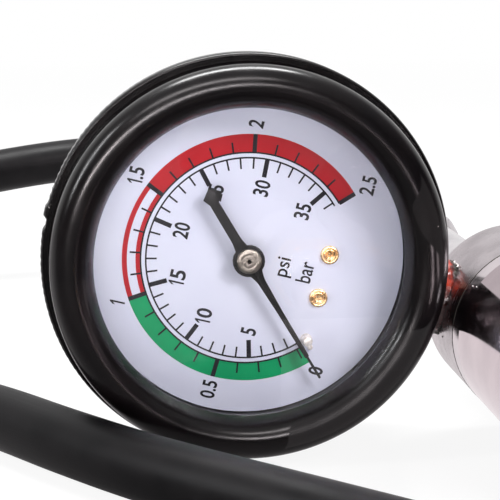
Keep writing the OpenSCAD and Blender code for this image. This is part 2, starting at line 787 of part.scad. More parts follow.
module barrel_cap() {
    flutes = 24;
    color([0.2, 0.2, 0.21]) pump_at() difference() {
        union() {
            rod_along(cap_d / 2, barrel_end_h, cap_end_h - 1.5);
            translate([0, 0, cap_end_h - 1.5])
                cylinder(r1 = cap_d / 2, r2 = cap_d / 2 - 1.5, h = 1.5);
            rod_along(barrel_r - fit, barrel_end_h - cap_spigot_len, barrel_end_h);
        }
        rod_along(bush_r + press, barrel_end_h - cap_spigot_len - through, cap_end_h + through);
        rod_along(barrel_r - 2.5, barrel_end_h - cap_spigot_len - through, barrel_end_h);
        for (i = [0:flutes - 1]) rotate([0, 0, (i + 0.5) * 360 / flutes])
            translate([cap_d / 2 + 0.6, 0, 0]) rod_along(1.4, barrel_end_h + 2, cap_end_h - 3.5);
        rotate([0, 0, 52]) translate([bush_r + 5, 0, 0]) rod_along(1, barrel_end_h - 1, cap_end_h + 1);
    }
}

module rod_bush() {
    color([0.75, 0.6, 0.3]) pump_at() {
        tube_ring(rod_r + fit, bush_r, barrel_end_h, cap_end_h);
        tube_ring(rod_r + fit, bush_r + 2, cap_end_h, cap_end_h + bush_flange);
    }
}

module piston_rod() {
    color([0.82, 0.82, 0.84]) pump_at() difference() {
        union() {
            rod_along(rod_end_r, nut_h + 0.3, piston_end_h + 1);
            rod_along(rod_r, piston_end_h + fit, rod_top_h);
        }
        rod_along(2.5 + press, rod_top_h - 12, rod_top_h + through);
    }
}

module piston() {
    color([0.78, 0.78, 0.8]) pump_at() difference() {
        rod_along(barrel_r - 0.4, piston_h, piston_end_h);
        rod_along(rod_end_r + fit, piston_h - through, piston_end_h + through);
        tube_ring(barrel_r - 2.2, barrel_r, piston_h + piston_t / 2 - 1, piston_h + piston_t / 2 + 1);
    }
}

module cup_seal() {
    color([0.08, 0.08, 0.08]) pump_at() difference() {
        rod_along(barrel_r - 0.08, cup_h - cup_skirt, cup_h + cup_base_t);
        rod_along(barrel_r - cup_wall, cup_h - cup_skirt - through, cup_h);
        rod_along(rod_end_r + fit, cup_h - through, piston_h + through);
    }
}

module cup_washer() {
    color([0.75, 0.75, 0.77]) pump_at()
        tube_ring(rod_end_r + press, barrel_r - cup_wall - 2.5, washer_h, washer_h + washer_t);
}

module piston_nut() {
    color([0.7, 0.7, 0.72]) pump_at() difference() {
        hex_along(nut_flats, nut_h, washer_h);
        rod_along(rod_end_r + press, nut_h - through, washer_h + through);
    }
}

function grip_radius(x) = (grip_d + waist_d) / 4 + (grip_d - waist_d) / 4 * cos(360 * x / grip_half);

module t_handle() {
    steps = 24;
    color([0.07, 0.07, 0.075]) pump_at() difference() {
        union() {
            translate([0, 0, handle_h]) rotate([0, 90, 0]) rotate_extrude() polygon(concat(
                [[0, -grip_half]],
                [for (i = [-steps / 2:steps / 2])
                    let (x = 2 * grip_half * i / steps) [grip_radius(x), x]],
                [[0, grip_half]]
            ));
            for (side = [-1, 1]) translate([side * grip_half, 0, handle_h]) sphere(grip_r);
            rod_along(neck_d / 2, handle_h - neck_len, handle_h);
        }
        rod_along(rod_r + press, handle_h - neck_len - through, rod_top_h);
        rod_along(2.5 + press, rod_top_h - through, handle_h + grip_r);
        rod_along(5.2, handle_h + grip_r - 6.4, handle_h + grip_r + through);
    }
}

module handle_screw() {
    head_h = handle_h + grip_r - 6.4;
    color([0.72, 0.72, 0.75]) pump_at() difference() {
        union() {
            rod_along(2.5, rod_top_h - 10, head_h);
            rod_along(4.8, head_h, head_h + 3);
        }
        hex_along(4, head_h + 1, head_h + 4);
    }
}

module handle_plug() {
    color([0.1, 0.1, 0.1]) pump_at() rod_along(5.2 - press, handle_h + grip_r - 3.3, handle_h + grip_r - 0.6);
}

module check_ball() {
    color([0.8, 0.8, 0.82]) pump_at() translate([0, 0, check_ball_h]) sphere(ball_d / 2);
}

module check_spring() {
    from = head_back_h + nipple_thread_len + fit;
    wire_r = 0.25;
    color([0.7, 0.7, 0.72]) pump_at() translate([0, 0, from])
        coil_spring(1.5, wire_r, check_ball_h - from - sqrt(pow(ball_d / 2, 2) - pow(1.5, 2)) - 0.15, 5);
}

module valve_body() {
    color([0.8, 0.8, 0.82]) valve_at() difference() {
        union() {
            rod_along(valve_thread_r, valve_inner, valve_seat);
            hex_along(valve_hex, valve_seat, valve_seat + valve_hex_t);
            rod_along(valve_r, valve_seat + valve_hex_t, valve_end);
        }
        rod_along(button_r + fit, valve_end - button_bore, valve_end + through);
        rod_along(valve_pin_r + fit, valve_inner - through, valve_end);
        rod_along(valve_seal_r + 0.3, valve_inner - through, valve_inner + valve_chamber);
    }
}

module valve_button() {
    top = valve_end + button_stand;
    color([0.75, 0.2, 0.15]) valve_at() {
        rod_along(button_r, top - button_len, top - 0.4);
        translate([0, 0, top - 0.4]) cylinder(r1 = button_r, r2 = button_r - 0.4, h = 0.4);
        rod_along(valve_pin_r, valve_inner + valve_chamber - valve_seal_t - fit, top - button_len);
    }
}

module valve_seal() {
    color([0.06, 0.06, 0.06]) valve_at() {
        from = valve_inner + valve_chamber - valve_seal_t - fit;
        tube_ring(valve_pin_r + press, valve_seal_r, from, from + valve_seal_t);
    }
}

module valve_spring() {
    from = valve_end - button_bore + fit;
    to = valve_end + button_stand - button_len - fit;
    color([0.7, 0.7, 0.72]) valve_at() translate([0, 0, from]) coil_spring(2.1, 0.3, to - from, 3);
}

module hose_nipple() {
    hex_end = head_back_h - nipple_hex_t;
    color([0.82, 0.82, 0.84]) pump_at() difference() {
        union() {
            rod_along(nipple_thread_r, head_back_h, head_back_h + nipple_thread_len);
            hex_along(nipple_hex, hex_end, head_back_h);
            rod_along(nipple_r, hex_end - nipple_len, hex_end);
            rod_along(hose_neck_r, nipple_end_h, hex_end - nipple_len);
        }
        rod_along(1.5, nipple_end_h - through, head_back_h + nipple_thread_len + through);
    }
}

module ferrule(from, to) {
    difference() {
        union() {
            rod_along(ferrule_r, from, to);
            for (part = [0.35, 0.6, 0.85])
                translate([0, 0, from + (to - from) * part]) rod_along(ferrule_r + 0.2, -0.9, 0.9);
        }
        rod_along(hose_r + fit, from - through, from + hose_in);
        rod_along(hose_neck_r + fit, from + hose_in - through, to + through);
    }
}

module head_ferrule() {
    color([0.8, 0.8, 0.82]) pump_at()
        ferrule(ferrule_end_h, ferrule_end_h + ferrule_len - fit);
}

module hose() {
    sides = 12;
    last = len(HOSE_ROUTE) - 1;
    function unit(v) = v / norm(v);
    color([0.05, 0.05, 0.055]) table_at() skin([for (i = [0:last])
        let (
            ahead = unit(HOSE_ROUTE[min(i + 1, last)] - HOSE_ROUTE[max(i - 1, 0)]),
            across = unit(cross(ahead, [0, 0, 1])),
            up = cross(across, ahead)
        )
        [for (j = [0:sides - 1]) let (a = 360 * (j + 0.5) / sides)
            HOSE_ROUTE[i] + hose_r * (cos(a) * across + sin(a) * up)]]);
}

module coupler_ferrule() {
    from = coupler_tail_h - hose_in;
    color([0.8, 0.8, 0.82]) coupler_at() ferrule(from, from + ferrule_len - fit);
}

module coupler_body() {
    stub = ferrule_len - hose_in;
    color([0.8, 0.66, 0.38]) coupler_at() difference() {
        union() {
            rod_along(hose_neck_r, coupler_tail_h, coupler_tail_h + stub);
            hex_along(coupler_hex, coupler_tail_h + stub, coupler_shoulder_h);
            rod_along(nose_r, coupler_shoulder_h, mouth_h);
        }
        rod_along(coupler_bore_r, coupler_tail_h - through, mouth_h);
        rod_along(4.3, mouth_h - socket_depth - 8, mouth_h);
        rod_along(chamber_wide_r, mouth_h - socket_depth, mouth_h - guide_len);
        rod_along(socket_r, mouth_h - guide_len - through, mouth_h + through);
        for (i = [0:lock_balls - 1]) rotate([0, 0, i * 360 / lock_balls])
            translate([0, 0, lock_ball_h]) rotate([0, 90, 0]) rod_along(lock_ball_r + fit, socket_r - 1, nose_r + 1);
    }
}

module coupler_sleeve() {
    color([0.75, 0.75, 0.77]) coupler_at() difference() {
        rod_along(sleeve_r, sleeve_h, sleeve_front_h);
        rod_along(ridge_r, sleeve_h - through, sleeve_front_h + through);
        rod_along(ring_r + 0.15, sleeve_h - through, lock_ball_h - lock_ball_r - 2);
        rod_along(ring_r + 0.15, lock_ball_h + lock_ball_r + 0.4, sleeve_front_h + through);
    }
}

module coupler_spring() {
    color([0.7, 0.7, 0.72]) coupler_at() translate([0, 0, coupler_shoulder_h + fit])
        coil_spring(nose_r + spring_wire_r + 0.15, spring_wire_r,
            lock_ball_h - lock_ball_r - 2 - coupler_shoulder_h - 2 * fit, 6, 24);
}

module coupler_balls() {
    color([0.8, 0.8, 0.82]) coupler_at() for (i = [0:lock_balls - 1])
        rotate([0, 0, i * 360 / lock_balls]) translate([lock_ball_at_r, 0, lock_ball_h])
            sphere(lock_ball_r);
}

module coupler_seal() {
    section_r = 0.85;
    color([0.06, 0.06, 0.06]) coupler_at()
        torus(chamber_wide_r - section_r - fit, section_r, mouth_h - socket_depth + section_r + fit);
}

module coupler_ring() {
    color([0.65, 0.65, 0.68]) coupler_at()
        tube_ring(nose_r + press, ring_r, lock_ball_h + lock_ball_r + 0.5, lock_ball_h + lock_ball_r + 1.5);
}

rubber_boot();
gauge_case();
blowout_plug();
case_screws();
bezel_ring();
gauge_lens();
lens_gasket();
dial_plate();
dial_screws();
stop_pin();
pointer();
pointer_cap();
pinion();
hairspring();
sector_gear();
link();
base_plate();
top_plate();
movement_pillars();
movement_screws();
bourdon_tube();
tube_tip();
gauge_socket();
thread_sealant();
pump_head();
pump_barrel();
barrel_seal();
barrel_cap();
rod_bush();
piston_rod();
piston();
cup_seal();
cup_washer();
piston_nut();
t_handle();
handle_screw();
handle_plug();
check_ball();
check_spring();
valve_body();
valve_button();
valve_seal();
valve_spring();
hose_nipple();
head_ferrule();
hose();
coupler_ferrule();
coupler_body();
coupler_sleeve();
coupler_spring();
coupler_balls();
coupler_seal();
coupler_ring();
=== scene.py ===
# %% [markdown]
# # A radiator pressure tester, dressed for its picture
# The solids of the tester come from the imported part. This lesson puts a camera and lamps round
# them, gives every solid its finish, and remodels the pieces whose real shape is softer or
# finer than a plain solid: the rubber boot, the printed dial, the hose, grips and fittings.

import math

import bpy
from mathutils import Matrix, Vector


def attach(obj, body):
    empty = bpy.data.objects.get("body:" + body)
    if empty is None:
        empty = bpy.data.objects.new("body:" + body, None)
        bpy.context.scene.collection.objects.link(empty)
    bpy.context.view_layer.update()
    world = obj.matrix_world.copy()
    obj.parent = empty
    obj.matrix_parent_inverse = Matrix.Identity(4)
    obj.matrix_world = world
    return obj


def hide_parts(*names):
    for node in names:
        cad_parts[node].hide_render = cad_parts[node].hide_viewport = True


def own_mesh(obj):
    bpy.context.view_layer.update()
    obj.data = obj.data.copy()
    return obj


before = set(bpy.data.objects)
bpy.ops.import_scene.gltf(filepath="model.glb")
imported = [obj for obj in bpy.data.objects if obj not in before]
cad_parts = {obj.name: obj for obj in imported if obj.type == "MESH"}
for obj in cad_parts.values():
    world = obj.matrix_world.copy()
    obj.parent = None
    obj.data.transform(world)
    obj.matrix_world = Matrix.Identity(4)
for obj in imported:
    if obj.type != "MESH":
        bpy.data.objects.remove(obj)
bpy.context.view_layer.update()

# %% [markdown]
# ## Four frames of reference
# The tester lies tipped on its boot and its handle, so nothing on it is square to the table.
# It is far easier to model the dial lying flat and a pipe standing upright, and to turn the
# finished mesh into place. Each frame below is such a place: heights run along its own axis.

# %% Frames
MM = 0.001
LEAN = math.radians(14.390678)
GAUGE_AT = Vector((-0.0367967, 0.0634, 0.0394))
PUMP_AT = Vector((0.0195772, 0.0634, 0.0249354))
COUPLER_AT = Vector((-0.0077967, 0.0634, 0.012))


def move_by(x, y, z):
    """A move, given in millimetres."""
    return Matrix.Translation(Vector((x, y, z)) * MM)


def turn_by(degrees, axis):
    return Matrix.Rotation(math.radians(degrees), 4, axis)


def frame_of(right, up, origin):
    right, up = Vector(right), Vector(up)
    turn = Matrix((right, up, right.cross(up))).transposed().to_4x4()
    return Matrix.Translation(origin) @ turn


across = (math.cos(LEAN), 0, -math.sin(LEAN))
upward = (math.sin(LEAN), 0, math.cos(LEAN))
DIAL = frame_of(upward, [-c for c in across], GAUGE_AT)
PUMP = frame_of(across, upward, PUMP_AT)
COUPLER = frame_of((1, 0, 0), (0, 0, 1), COUPLER_AT)
VALVE = PUMP @ move_by(0, 0, -8) @ turn_by(-30, "Z") @ turn_by(90, "Y")
print("dial faces", DIAL.to_3x3() @ Vector((0, 0, 1)))

# %% [markdown]
# ## The camera
# The picture was taken close to the gauge with a long lens, a little from the left and from
# above. A pinhole camera is placed from its position and its viewing direction, and its
# roll is nil, so two directions are enough to build its turn.

# %% Camera
CAMERA_AT = Vector((-0.070297, -0.2361, 0.0981))
LOOKING = Vector((0.1109, 0.9762, -0.1861)).normalized()

bpy.ops.object.camera_add(location=CAMERA_AT)
camera = bpy.context.object
camera.name = "camera"
side = LOOKING.cross(Vector((0, 0, 1))).normalized()
camera.matrix_world = (Matrix.Translation(CAMERA_AT)
                       @ Matrix((side, side.cross(LOOKING), -LOOKING)).transposed().to_4x4())
camera.data.lens = 115.2
camera.data.sensor_width = 36
camera.data.clip_start = 0.01
bpy.context.scene.camera = camera
print("camera", tuple(round(c, 3) for c in camera.location))

# %% [markdown]
# ## First helpers
# An operator acts on whatever is selected and active, so each helper settles that first: one
# piece alone, one new primitive, or every face of a mesh in edit mode.

# %% First helpers
def only(piece):
    bpy.ops.object.select_all(action="DESELECT")
    piece.select_set(True)
    bpy.context.view_layer.objects.active = piece
    return piece


def named(name):
    piece = bpy.context.object
    piece.name = piece.data.name = name
    return piece


def started(name, add_primitive, **settings):
    """A new primitive under its name, with nothing else selected."""
    bpy.ops.object.select_all(action="DESELECT")
    add_primitive(**settings)
    return named(name)


def edited(*steps):
    """Mesh operators in edit mode, each on the whole mesh."""
    bpy.ops.object.mode_set(mode="EDIT")
    for operator, settings in steps:
        bpy.ops.mesh.select_all(action="SELECT")
        operator(**settings)
    bpy.ops.object.mode_set(mode="OBJECT")


# %% [markdown]
# ## The hose
# A rubber hose leaves the crimped ferrule behind the pump, arches to the left, sinks to the
# table and turns back in front of the gauge to its quick coupler. A smooth curve through the
# points of its route gives the middle line; a round bevel on that curve makes the tube, and
# turning it into a mesh keeps the texture coordinates that run along it.

# %% Hose
HOSE_D = 0.0125
HOSE_ROUTE = [
    (56.374, 92, 24.935), (56.374, 111, 24.935), (54, 130, 26), (46, 150, 29), (32, 167, 32),
    (14, 179, 34), (-6, 185, 35), (-27, 186, 35), (-48, 183, 33), (-68, 176, 30),
    (-86, 165, 26), (-100, 150, 21), (-109, 132, 15), (-112, 113, 10), (-109, 94, 7),
    (-101, 76, 6.3), (-90, 60, 6.3), (-76, 43, 6.3), (-62, 26, 6.3), (-48, 10, 6.3),
    (-36, -6, 6.3), (-24, -21, 6.3), (-13, -33, 6.3), (-1, -45, 6.3), (11, -58, 6.6),
    (21, -73, 8), (27, -88, 10), (29, -105, 12), (29, -120, 12),
]
ORIGIN_XY = (36.796667, -63.4)


def smooth_line(points, steps):
    """Points of a soft curve through all of the given ones."""
    line = []
    for i in range(len(points) - 1):
        a, b = points[max(i - 1, 0)], points[i]
        c, d = points[i + 1], points[min(i + 2, len(points) - 1)]
        for k in range(steps):
            t = k / steps
            line.append(0.5 * (2 * b + (c - a) * t + (2 * a - 5 * b + 4 * c - d) * t ** 2
                               + (3 * b - a - 3 * c + d) * t ** 3))
    return line + [points[-1]]


hose_points = [Vector(((x - ORIGIN_XY[0]) * MM, (y - ORIGIN_XY[1]) * MM, z * MM))
               for x, y, z in HOSE_ROUTE]
hose_line = smooth_line(hose_points, 6)

hose_curve = bpy.data.curves.new("flex_hose", "CURVE")
hose_curve.dimensions = "3D"
hose_curve.bevel_depth = HOSE_D / 2
hose_curve.bevel_resolution = 10
hose_curve.use_fill_caps = True
spline = hose_curve.splines.new("POLY")
spline.points.add(len(hose_line) - 1)
for point, place in zip(spline.points, hose_line):
    point.co = (*place, 1)
flex_hose = bpy.data.objects.new("flex_hose", hose_curve)
bpy.context.collection.objects.link(flex_hose)
only(flex_hose)
bpy.ops.object.convert(target="MESH")
flex_hose = bpy.context.object
edited((bpy.ops.mesh.remove_doubles, {"threshold": 1e-6}),
       (bpy.ops.mesh.normals_make_consistent, {"inside": False}))
bpy.ops.object.shade_smooth_by_angle(angle=math.radians(40))
print("hose", round(sum((b - a).length for a, b in zip(hose_line, hose_line[1:])), 4), "m,",
      [layer.name for layer in flex_hose.data.uv_layers])

# %% [markdown]
# ## Helpers for turned pieces
# Most of this tool came off a lathe or out of a round mould. One outline of points, each a
# radius and a height in millimetres, is spun round its axis to a closed skin. A cutter is
# subtracted with a Boolean modifier, and a finished mesh is moved into its frame by its
# vertices, so that every piece's object stays at the origin.

# %% Helpers
def closed_up(piece):
    """Merges doubles, drops loose edges and turns all faces outwards."""
    only(piece)
    edited((bpy.ops.mesh.remove_doubles, {"threshold": 2e-7}),
           (bpy.ops.mesh.delete_loose, {}),
           (bpy.ops.mesh.normals_make_consistent, {"inside": False}))
    return piece


CLOSE_ENDS = ((bpy.ops.mesh.remove_doubles, {"threshold": 1e-7}), (bpy.ops.mesh.fill_holes, {"sides": 0}))


def spin_round(steps, sweep, copies=False):
    """Settings of a spin about the upright axis; it can draw a skin or set copies round."""
    return {"steps": steps, "angle": math.radians(sweep), "dupli": copies,
            "center": (0, 0, 0), "axis": (0, 0, 1)}


def spun(name, outline, steps=96, sweep=360, start=0):
    """A closed skin from an outline of (radius, height) points, spun clockwise round the axis."""
    piece = started(name, bpy.ops.mesh.primitive_circle_add, vertices=len(outline), radius=MM)
    for vertex, (r, h) in zip(piece.data.vertices, outline):
        vertex.co = turn_by(start, "Z") @ Vector((r * MM, 0, h * MM))
    edited((bpy.ops.mesh.spin, spin_round(steps, sweep)))
    if sweep < 360:
        edited(*CLOSE_ENDS)
    return closed_up(piece)


def shaped(piece, kind, **settings):
    only(piece)
    modifier = piece.modifiers.new(kind.title(), kind)
    for key, value in settings.items():
        setattr(modifier, key, value)
    bpy.ops.object.modifier_apply(modifier=modifier.name)
    return piece


def cut(piece, tool, operation="DIFFERENCE"):
    shaped(piece, "BOOLEAN", object=tool, operation=operation, solver="EXACT")
    bpy.data.objects.remove(tool)
    return piece


def joined(pieces, name):
    bpy.ops.object.select_all(action="DESELECT")
    for piece in pieces:
        piece.select_set(True)
    bpy.context.view_layer.objects.active = pieces[0]
    bpy.ops.object.join()
    return named(name)


def placed(piece, place, crease=35):
    """Moves a finished mesh into its frame and shades it smooth up to the crease angle."""
    piece.data.transform(place)
    only(piece)
    bpy.ops.object.shade_smooth_by_angle(angle=math.radians(crease))
    print(piece.name, len(piece.data.polygons), "faces")
    return piece


ROD_TURNS = {"-Y": turn_by(90, "X"), "X": turn_by(90, "Y"), "Z": turn_by(0, "Z")}


def lying_rod(name, r, start, end, at=(0, 0, 0), toward="Z", sides=48):
    """A plain rod for cutting, along one direction of a frame."""
    rod = started(name, bpy.ops.mesh.primitive_cylinder_add, vertices=sides, radius=r * MM,
                  depth=(end - start) * MM)
    rod.data.transform(move_by(*at) @ ROD_TURNS[toward] @ move_by(0, 0, (start + end) / 2))
    return rod


def pushed_out(vertex, distance):
    """Moves a point away from the upright axis, by a distance in millimetres."""
    share = 1 + distance * MM / math.hypot(vertex.co.x, vertex.co.y)
    vertex.co.x *= share
    vertex.co.y *= share


def rounded_corner(outline, radius, segments=4):
    """Rounds every corner of an outline that is marked with a third value."""
    done = []
    count = len(outline)
    for i, point in enumerate(outline):
        here = Vector(point[:2])
        if len(point) < 3:
            done.append(tuple(here))
            continue
        size = radius * point[2]
        before, after = Vector(outline[i - 1][:2]), Vector(outline[(i + 1) % count][:2])
        into, out = (before - here).normalized(), (after - here).normalized()
        reach = min(size, (before - here).length / 2.1, (after - here).length / 2.1)
        for k in range(segments + 1):
            t = k / segments
            done.append(tuple((here + into * reach) * (1 - t) ** 2 + here * 2 * t * (1 - t)
                              + (here + out * reach) * t ** 2))
    return done


# %% [markdown]
# ## The rubber boot
# The boot is one moulding: a fat roll round the window, a wider rim behind it with fine ribs on
# its front face, and a tapered skirt to the open back. A lathe outline gives all of that.

# %% Boot outline
ROLL_R, ROLL_H, ROLL = 33.6, 6.7, 4.1
RIM_R, RIM_FRONT, RIM_BACK = 39.4, 0.8, -3.6
BOOT_COLUMNS = 344


def roll_arc(start, end, steps):
    for k in range(steps + 1):
        a = math.radians(start + (end - start) * k / steps)
        yield ROLL_R + ROLL * math.cos(a), ROLL_H + ROLL * math.sin(a)


boot_outline = [(25, -21.05), (25, -24.1), (25.6, -24.7), (33.6, -24.7), (34.7, -24.3),
                (35.6, -23.4), (36.1, -22.2)]
for ring_h in (-19, -15.5, -12):
    ring_r = 36.2 + 1.6 * (ring_h + 22.7) / 21.3
    boot_outline += [(ring_r, ring_h - 1), (ring_r + 0.35, ring_h - 0.6),
                     (ring_r + 0.35, ring_h + 0.6), (ring_r + 0.1, ring_h + 1)]
boot_outline += [(37.4, -6), (37.6, -4.3), (38, RIM_BACK), (38.8, RIM_BACK), (39.2, RIM_BACK + 0.3),
                 (RIM_R, RIM_BACK + 0.9), (RIM_R, RIM_FRONT - 0.7), (39.2, RIM_FRONT - 0.2),
                 (39, RIM_FRONT)]
for rib_r in (38.75, 38.3, 37.85):
    boot_outline += [(rib_r + 0.1, RIM_FRONT + 0.02), (rib_r + 0.02, RIM_FRONT - 0.28),
                     (rib_r - 0.12, RIM_FRONT - 0.28), (rib_r - 0.2, RIM_FRONT + 0.02)]
boot_outline += [(37.45, 1), (37.2, 1.5), (37.1, 3), (37.25, 4.6)]
boot_outline += list(roll_arc(-18, 100, 20))
boot_outline += [(31.9, 10.35), (31.2, 9.75), (30.6, 8.95), (30.15, 8), (29.85, 7.1),
                 (29.6, 6.35), (29.5, 5.95), (32.2, 5.95), (32.2, -1.6), (31.55, -1.7),
                 (31.55, -21.05)]
rubber = spun("boot", boot_outline, BOOT_COLUMNS)

# %% [markdown]
# The rim's edge carries fine teeth on the side that the dial calls up. They could be cut one by
# one, but the spun skin has enough columns to draw in every second one. They fade out round the
# rim, and a small burr and a nick mark where the mould was parted.

# %% Boot teeth and nick
TOOTH_DEPTH, BURR, NICK = 0.15, 0.28, 0.45
for vertex in rubber.data.vertices:
    r = math.hypot(vertex.co.x, vertex.co.y) / MM
    h = vertex.co.z / MM
    if r < 38.9 or not RIM_BACK - 0.1 < h < RIM_FRONT + 0.1:
        continue
    angle = math.degrees(math.atan2(vertex.co.x, vertex.co.y))
    column = round(angle / 360 * BOOT_COLUMNS)
    wear = 0.6 + 0.25 * math.sin(angle * 0.09 + 1) + 0.15 * math.sin(angle * 1.7)
    sharp = min(max((math.cos(math.radians(angle)) - 0.5) / 0.4, 0), 1)
    change = -TOOTH_DEPTH * wear * sharp if column % 2 else 0
    if -1.2 < angle < 1.4:
        change = BURR
    elif -4.2 < angle <= -1.2:
        change = -NICK
    pushed_out(vertex, change)
cut(rubber, lying_rod("stem_hole", 6.6, 29, 42, (0, 0, -8), "-Y"))
boot = placed(rubber, DIAL, 38)

# %% [markdown]
# ## What is printed on the dial
# The dial carries two scales: bars outside with a green, a striped and a red zone, and pounds
# inside. Real print is a skin of ink, so each mark is modelled as a solid a few hundredths of
# a millimetre thick, lying on the plate. A mark is made once and the spin tool repeats it.

# %% Dial scale
INK_T = 0.03
SCALE_START, SCALE_END = -135, 135
BAR_R, BAND_R, PSI_R = 20.5, 24.04, 19.5
STRIPE_W = 0.95
BAR_DEGREES, BAR_TOP = 111.4, 2.5
PSI_DEGREES, PSI_TOP = 7.68, 36.26


def bar_angle(bar):
    """Where a value stands on the outer scale; the zero mark is pinned to the scale's end."""
    return SCALE_START if bar == 0 else SCALE_END - BAR_DEGREES * (BAR_TOP - bar)


def psi_angle(psi):
    return SCALE_END - PSI_DEGREES * (PSI_TOP - psi)


def arc(name, in_r, out_r, start, end, height=INK_T):
    """Part of a flat ring; angles run clockwise from the top of the dial."""
    section = [(in_r, 0), (out_r, 0), (out_r, height), (in_r, height)]
    return spun(name, section, max(4, round((end - start) / 2.5)), end - start, 90 - start)


def tick_row(name, in_r, out_r, width, start, step, count, height):
    """One bar-shaped mark, repeated round the dial by the spin tool."""
    row = started(name, bpy.ops.mesh.primitive_cube_add, size=1)
    row.data.transform(turn_by(-start, "Z") @ move_by(0, (in_r + out_r) / 2, height / 2)
                       @ Matrix.Diagonal((width * MM, (out_r - in_r) * MM, height * MM, 1)))
    edited((bpy.ops.mesh.spin, spin_round(count - 1, step * (count - 1), copies=True)))
    return row


zones_red = [arc("zone", BAR_R, BAND_R, bar_angle(1.5), bar_angle(2.5)),
             arc("zone", BAR_R, BAR_R + STRIPE_W, bar_angle(1), bar_angle(1.5)),
             arc("zone", BAND_R - STRIPE_W, BAND_R, bar_angle(1), bar_angle(1.5))]
print_red = placed(joined(zones_red, "print_red"), DIAL)
print_green = placed(arc("print_green", BAR_R, BAND_R, bar_angle(0), bar_angle(1)), DIAL)

# %% [markdown]
# The marks and words are in black ink, a little higher than the coloured zones they cross.
# The built-in typeface is wider than the narrow one on such dials, so each word is turned
# into a mesh and squeezed to the width and height that it has on the dial. A one would be
# squeezed out of shape, so it is drawn as an outline of its own.

# %% Dial marks and words
OVER = INK_T + 0.02
ONE_OUTLINE = [(0.05, -0.5), (0.5, -0.5), (0.5, 0.5), (0.14, 0.5), (-0.5, 0.27), (-0.5, 0.12), (0.05, 0.29)]
ONE_W = 0.75


def digit_one(x, y, width, height):
    """A one with its slanting flag, drawn as an outline in a box of the given size."""
    one = started("one", bpy.ops.mesh.primitive_circle_add, vertices=len(ONE_OUTLINE), radius=MM,
                  fill_type="NGON")
    for vertex, (across_box, up_box) in zip(one.data.vertices, ONE_OUTLINE):
        vertex.co = ((x + across_box * width) * MM, (y + up_box * height) * MM, 0)
    shaped(one, "SOLIDIFY", thickness=INK_T * MM, offset=1)
    return closed_up(one)


def word(text, x, y, width, height, weight=0.02):
    """A word as wide and high as it is on the dial; a leading one is drawn apart."""
    if text == "1":
        return digit_one(x, y, ONE_W, height)
    if text[0] == "1":
        gap = 0.42 if len(text) == 2 else 0.3
        rest_w = width - ONE_W - gap
        return joined([digit_one(x + (ONE_W - width) / 2, y, ONE_W, height),
                       word(text[1:], x + (width - rest_w) / 2, y, rest_w, height, weight)], "word")
    bpy.ops.object.select_all(action="DESELECT")
    bpy.ops.object.text_add()
    writing = bpy.context.object
    writing.data.body = text
    writing.data.offset = weight
    writing.data.resolution_u = 4
    bpy.ops.object.convert(target="MESH")
    writing = bpy.context.object
    low = [min(v.co[i] for v in writing.data.vertices) for i in (0, 1)]
    high = [max(v.co[i] for v in writing.data.vertices) for i in (0, 1)]
    for vertex in writing.data.vertices:
        vertex.co.x = (x + ((vertex.co.x - low[0]) / (high[0] - low[0]) - 0.5) * width) * MM
        vertex.co.y = (y + ((vertex.co.y - low[1]) / (high[1] - low[1]) - 0.5) * height) * MM
        vertex.co.z = 0
    shaped(writing, "SOLIDIFY", thickness=INK_T * MM, offset=1)
    return closed_up(writing)


LINE = 0.16
TICK_W, TICK_LONG = 0.34, 2.1
PSI_MAIN_W, PSI_MAIN_LONG, BAR_MAIN_W = 0.88, 3.5, 0.84
marks = [
    arc("mark", PSI_R - LINE, PSI_R + LINE, SCALE_START, SCALE_END),
    arc("mark", BAR_R - LINE, BAR_R + LINE, SCALE_START, SCALE_END, OVER),
    tick_row("mark", PSI_R - TICK_LONG, PSI_R, TICK_W, psi_angle(2), PSI_DEGREES, 35, INK_T + 0.005),
    tick_row("mark", PSI_R - PSI_MAIN_LONG, PSI_R, PSI_MAIN_W, psi_angle(5), 5 * PSI_DEGREES, 7,
             INK_T + 0.01),
    tick_row("mark", BAR_R, BAR_R + TICK_LONG, TICK_W, bar_angle(0.1), 0.1 * BAR_DEGREES, 25, OVER + 0.005),
    tick_row("mark", BAR_R, BAND_R, BAR_MAIN_W, bar_angle(0.5), 0.5 * BAR_DEGREES, 5, OVER + 0.01),
]
PSI_WORDS = [(str(psi), psi_angle(psi), 13.9, 3.0, 3.05) for psi in range(10, 40, 5)]
BAR_WORDS = [(text, bar_angle(float(text)), reach, wide, 2.95) for text, reach, wide in (
    ("0", 26.2, 1.6), ("0.5", 26.7, 3.5), ("1", 26.3, 0.85), ("1.5", 26.8, 3.2), ("2", 26, 1.45),
    ("2.5", 27, 3.6))]
for text, angle, reach, wide, high in [("5", psi_angle(5), 14.3, 1.35, 3.05)] + PSI_WORDS + BAR_WORDS:
    x, y = reach * math.sin(math.radians(angle)), reach * math.cos(math.radians(angle))
    nudge = 0.6 if text == "25" else 0
    marks.append(word(text, x + nudge, y, wide, high))
marks += [word("psi", 0, -7.4, 3.7, 3.5, 0.01), word("bar", 0, -11.5, 4.1, 3.0, 0.01)]
print_black = placed(joined(marks, "print_black"), DIAL)

# %% [markdown]
# ## The pointer
# The pointer is stamped from thin sheet: a blade that ends in a fine needle, a round hub and a
# short tail with a slanted diamond. One half of its outline is given and mirrored, the circle
# primitive supplies the points, and an extrusion gives the sheet its thickness.

